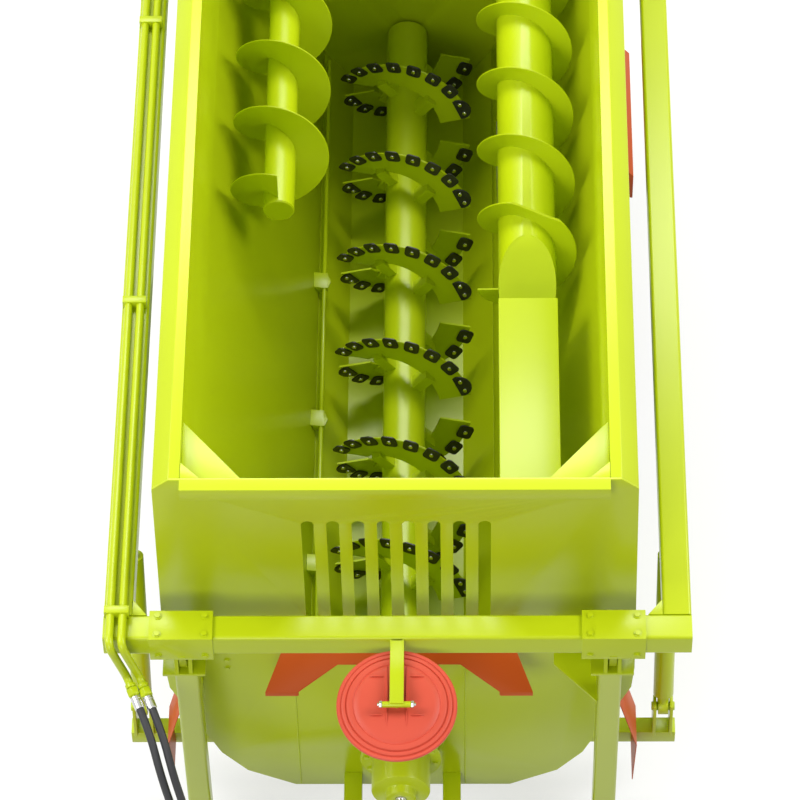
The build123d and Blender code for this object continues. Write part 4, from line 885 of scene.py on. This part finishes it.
# Bolts: one hexagon head and washer, set at each marked spot and turned to face outwards
def bolt_tree():
    """Node tree that puts a bolt of the given sizes on every point, along its facing vector."""
    tree = bpy.data.node_groups.new("hex_bolts", "GeometryNodeTree")
    sockets = tree.interface
    sockets.new_socket("Geometry", in_out="INPUT", socket_type="NodeSocketGeometry")
    for label in ("Head Radius", "Head Height", "Washer Radius", "Washer Height"):
        sockets.new_socket(label, in_out="INPUT", socket_type="NodeSocketFloat")
    sockets.new_socket("Finish", in_out="INPUT", socket_type="NodeSocketMaterial")
    sockets.new_socket("Geometry", in_out="OUTPUT", socket_type="NodeSocketGeometry")
    given = tree.nodes.new("NodeGroupInput")
    result = tree.nodes.new("NodeGroupOutput")
    join = tree.nodes.new("GeometryNodeJoinGeometry")
    for corners, radius, height in ((6, "Head Radius", "Head Height"),
                                    (20, "Washer Radius", "Washer Height")):
        disc = tree.nodes.new("GeometryNodeMeshCylinder")
        disc.inputs["Vertices"].default_value = corners
        tree.links.new(given.outputs[radius], disc.inputs["Radius"])
        tree.links.new(given.outputs[height], disc.inputs["Depth"])
        half = tree.nodes.new("ShaderNodeMath")
        half.operation = "MULTIPLY"
        half.inputs[1].default_value = 0.5
        tree.links.new(given.outputs[height], half.inputs[0])
        lift = tree.nodes.new("ShaderNodeCombineXYZ")
        tree.links.new(half.outputs["Value"], lift.inputs["Z"])
        seat = tree.nodes.new("GeometryNodeTransform")
        tree.links.new(disc.outputs["Mesh"], seat.inputs["Geometry"])
        tree.links.new(lift.outputs["Vector"], seat.inputs["Translation"])
        tree.links.new(seat.outputs["Geometry"], join.inputs["Geometry"])
    facing = tree.nodes.new("GeometryNodeInputNamedAttribute")
    facing.data_type = "FLOAT_VECTOR"
    facing.inputs["Name"].default_value = "facing"
    turn = tree.nodes.new("FunctionNodeAlignRotationToVector")
    turn.axis = "Z"
    tree.links.new(facing.outputs["Attribute"], turn.inputs["Vector"])
    place = tree.nodes.new("GeometryNodeInstanceOnPoints")
    tree.links.new(given.outputs["Geometry"], place.inputs["Points"])
    tree.links.new(join.outputs["Geometry"], place.inputs["Instance"])
    tree.links.new(turn.outputs["Rotation"], place.inputs["Rotation"])
    realize = tree.nodes.new("GeometryNodeRealizeInstances")
    tree.links.new(place.outputs["Instances"], realize.inputs["Geometry"])
    finish = tree.nodes.new("GeometryNodeSetMaterial")
    tree.links.new(realize.outputs["Geometry"], finish.inputs["Geometry"])
    tree.links.new(given.outputs["Finish"], finish.inputs["Material"])
    tree.links.new(finish.outputs["Geometry"], result.inputs["Geometry"])
    return tree


HEX_BOLTS = bolt_tree()


def bolts(name, body, spots, head_radius, mat):
    """One mesh of bolts for one body; each spot is a place and the way it faces."""
    mesh = bpy.data.meshes.new(name + "_spots")
    mesh.from_pydata([place for place, way in spots], [], [])
    facing = mesh.attributes.new("facing", "FLOAT_VECTOR", "POINT")
    for i, (place, way) in enumerate(spots):
        facing.data[i].vector = way
    marks = bpy.data.objects.new(name + "_spots", mesh)
    bpy.context.scene.collection.objects.link(marks)
    modifier = marks.modifiers.new("bolts", "NODES")
    modifier.node_group = HEX_BOLTS
    values = {"Head Radius": head_radius, "Head Height": head_radius * 0.65,
              "Washer Radius": head_radius * 1.35, "Washer Height": head_radius * 0.2, "Finish": mat}
    for item in HEX_BOLTS.interface.items_tree:
        if item.in_out == "INPUT" and item.name in values:
            modifier[item.identifier] = values[item.name]
    applied(marks)
    obj = bpy.data.objects.new(name, marks.data)
    bpy.context.scene.collection.objects.link(obj)
    bpy.data.objects.remove(marks)
    outward(obj)
    obj.data.materials.clear()
    obj.data.materials.append(mat)
    return added(smooth(obj, 30), body)


def ring_of(centre, axis, radius, count):
    """Spots on a bolt circle, facing along the axis."""
    along = Vector(axis).normalized()
    side = along.orthogonal().normalized()
    up = along.cross(side)
    spots = []
    for i in range(count):
        angle = 2 * math.pi * (i + 0.5) / count
        spot = Vector(centre) + side * (radius * math.cos(angle)) + up * (radius * math.sin(angle))
        spots.append((spot, along))
    return spots


WALL_FACE = -1.750             # outer face of the front wall
WALL_BOLT_X = 0.742
WALL_BOLT_ZS = (1.315, 1.255)
SADDLE_X = 0.900               # middle of the saddle plates on the beam
SADDLE_TOP = 1.887
SADDLE_FRONT = -2.022
SADDLE_BOLT_X = 0.098
SADDLE_BOLT_YS = (-1.995, -1.905)
SADDLE_BOLT_Z = 1.765
CASE_RING_R = 0.105            # bolts round each auger's end on the drive case
GEARBOX_FACE = -1.916
GEARBOX_RING_R = 0.153
WHEEL_FACE = 0.906
WHEEL_RING_R = 0.125


def all_bolts():
    """The bolts of the boom's saddles, the wagon and both wheels, one mesh for each body."""
    up = Vector((0, 0, 1))
    front = Vector((0, -1, 0))
    rear = Vector((0, 1, 0))
    corners = [side * SADDLE_X + dx for side in (-1, 1) for dx in (-SADDLE_BOLT_X, SADDLE_BOLT_X)]
    saddle = [(Vector((x, y, SADDLE_TOP)), up) for x in corners for y in SADDLE_BOLT_YS]
    saddle += [(Vector((x, SADDLE_FRONT, SADDLE_BOLT_Z)), front) for x in corners]
    bolts("saddle_bolts", "boom", saddle, 0.013, green_paint)
    wall = [(Vector((side * WALL_BOLT_X, WALL_FACE, z)), front) for side in (-1, 1) for z in WALL_BOLT_ZS]
    case_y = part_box("auger_drive_case")[1].y
    for joint in ("upper_left_turn", "upper_right_turn", "lower_auger_turn"):
        hub = joint_point(joint)
        wall += ring_of((hub.x, case_y, hub.z), rear, CASE_RING_R, 8)
    wall += ring_of((0, GEARBOX_FACE, lower_axis.z), front, GEARBOX_RING_R, 10)
    bolts("wagon_bolts", "wagon", wall, 0.012, green_paint)
    for side, name in ((-1, "left"), (1, "right")):
        hub = joint_point("wheel_" + name + "_turn")
        face = Vector((side * WHEEL_FACE, hub.y, hub.z))
        bolts("wheel_nuts_" + name, "wheel_" + name, ring_of(face, (side, 0, 0), WHEEL_RING_R, 8), 0.014,
              bright_steel)


all_bolts()


# Weld seams of the front wall's middle sheet
SEAM_XS = {"left": -0.456, "right": 0.280}
SEAM_TOP = 1.330
SEAM_FOOT = 0.315
WELD_R = 0.004
WELD_STEP = 0.012
WELD_SIDES = 8
WELD_WAIST = 0.78


def weld(name, start, end):
    """A bead of small ripples between two points on the front wall."""
    count = max(2, round((end - start).length / WELD_STEP))
    points = [start.lerp(end, i / count) for i in range(count)] + [end]
    verts, faces = swept(points, WELD_R, WELD_SIDES)
    for i, point in enumerate(points):
        swell = 1.0 if i % 2 else WELD_WAIST
        for k in range(WELD_SIDES * i, WELD_SIDES * (i + 1)):
            verts[k] = point + (verts[k] - point) * swell
    obj = outward(mesh_object(name, verts, faces, green_paint))
    added(smooth(obj, 60), "wagon")


for label, x in SEAM_XS.items():
    weld("front_wall_seam_" + label, Vector((x, WALL_FACE, SEAM_TOP)), Vector((x, WALL_FACE, SEAM_FOOT)))

# Floor, world and lamps
FLOOR_BOUNCE = 0.34            # how pale the floor is for the light that it throws back
FLOOR_SEEN = 0.62              # how much of the seen floor's white is its own
FLOOR_HALF = 60.0
floor_mat, floor_tree, floor_shader = material("studio_floor", (0.80, 0.80, 0.80), 0.9)


def seen_directly(tree):
    """One for camera, glossy and transmitted rays, nought for light that bounces."""
    path = tree.nodes.new("ShaderNodeLightPath")
    glossy = tree.nodes.new("ShaderNodeMath")
    glossy.operation = "MAXIMUM"
    tree.links.new(path.outputs["Is Camera Ray"], glossy.inputs[0])
    tree.links.new(path.outputs["Is Glossy Ray"], glossy.inputs[1])
    through = tree.nodes.new("ShaderNodeMath")
    through.operation = "MAXIMUM"
    tree.links.new(glossy.outputs["Value"], through.inputs[0])
    tree.links.new(path.outputs["Is Transmission Ray"], through.inputs[1])
    return through.outputs["Value"]


def floor_finish(tree, shader):
    """Pale floor that shows white where it is lit and keeps the object's shadow."""
    seen = seen_directly(tree)
    shader.inputs["Specular IOR Level"].default_value = 0.0
    shader.inputs["Emission Color"].default_value = (1.0, 1.0, 1.0, 1.0)
    share = tree.nodes.new("ShaderNodeMath")
    share.operation = "MULTIPLY"
    share.inputs[1].default_value = FLOOR_SEEN
    tree.links.new(seen, share.inputs[0])
    tree.links.new(share.outputs["Value"], shader.inputs["Emission Strength"])
    own = tree.nodes.new("ShaderNodeMapRange")
    own.inputs["To Min"].default_value = FLOOR_BOUNCE
    own.inputs["To Max"].default_value = 1.0 - FLOOR_SEEN
    tree.links.new(seen, own.inputs["Value"])
    tree.links.new(own.outputs["Result"], shader.inputs["Base Color"])


floor_finish(floor_tree, floor_shader)
floor_mesh = bpy.data.meshes.new("studio_floor")
floor_mesh.from_pydata([(x * FLOOR_HALF, y * FLOOR_HALF, 0) for x, y in ((-1, -1), (1, -1), (1, 1), (-1, 1))],
                       [], [(0, 1, 2, 3)])
floor = bpy.data.objects.new("studio_floor", floor_mesh)
bpy.context.scene.collection.objects.link(floor)
floor_mesh.materials.append(floor_mat)

SKY = 0.32                     # light of the plain studio room
world = bpy.data.worlds.new("studio")
bpy.context.scene.world = world
world.use_nodes = True
nodes = world.node_tree.nodes
links = world.node_tree.links
background = nodes["Background"]
background.inputs["Color"].default_value = (1.0, 1.0, 1.0, 1.0)
seen_white = nodes.new("ShaderNodeMapRange")
seen_white.inputs["To Min"].default_value = SKY
seen_white.inputs["To Max"].default_value = 1.0
links.new(seen_directly(world.node_tree), seen_white.inputs["Value"])
links.new(seen_white.outputs["Result"], background.inputs["Strength"])


def lamp(name, place, target, size, power, length=None):
    """A soft panel, square unless a length is given, turned towards its target."""
    data = bpy.data.lights.new(name, "AREA")
    data.shape = "RECTANGLE"
    data.size = size
    data.size_y = length or size
    data.energy = power
    obj = bpy.data.objects.new(name, data)
    bpy.context.scene.collection.objects.link(obj)
    obj.location = place
    obj.rotation_euler = (Vector(target) - Vector(place)).to_track_quat("-Z", "Y").to_euler()


lamp("sky_panel", (-0.3, 8.6, 14.2), (0.0, 0.0, 1.6), 13.0, 1850.0, 4.5)
lamp("left_panel", (-10.0, -0.5, 11.0), (0.0, 0.0, 1.6), 6.0, 1180.0)
lamp("right_panel", (10.0, -0.5, 11.0), (0.0, 0.0, 1.6), 6.0, 1180.0)
lamp("front_lamp", (-3.0, -12.0, 7.0), (0.0, -1.0, 1.2), 6.0, 580.0)
bpy.context.scene.view_settings.view_transform = "Standard"
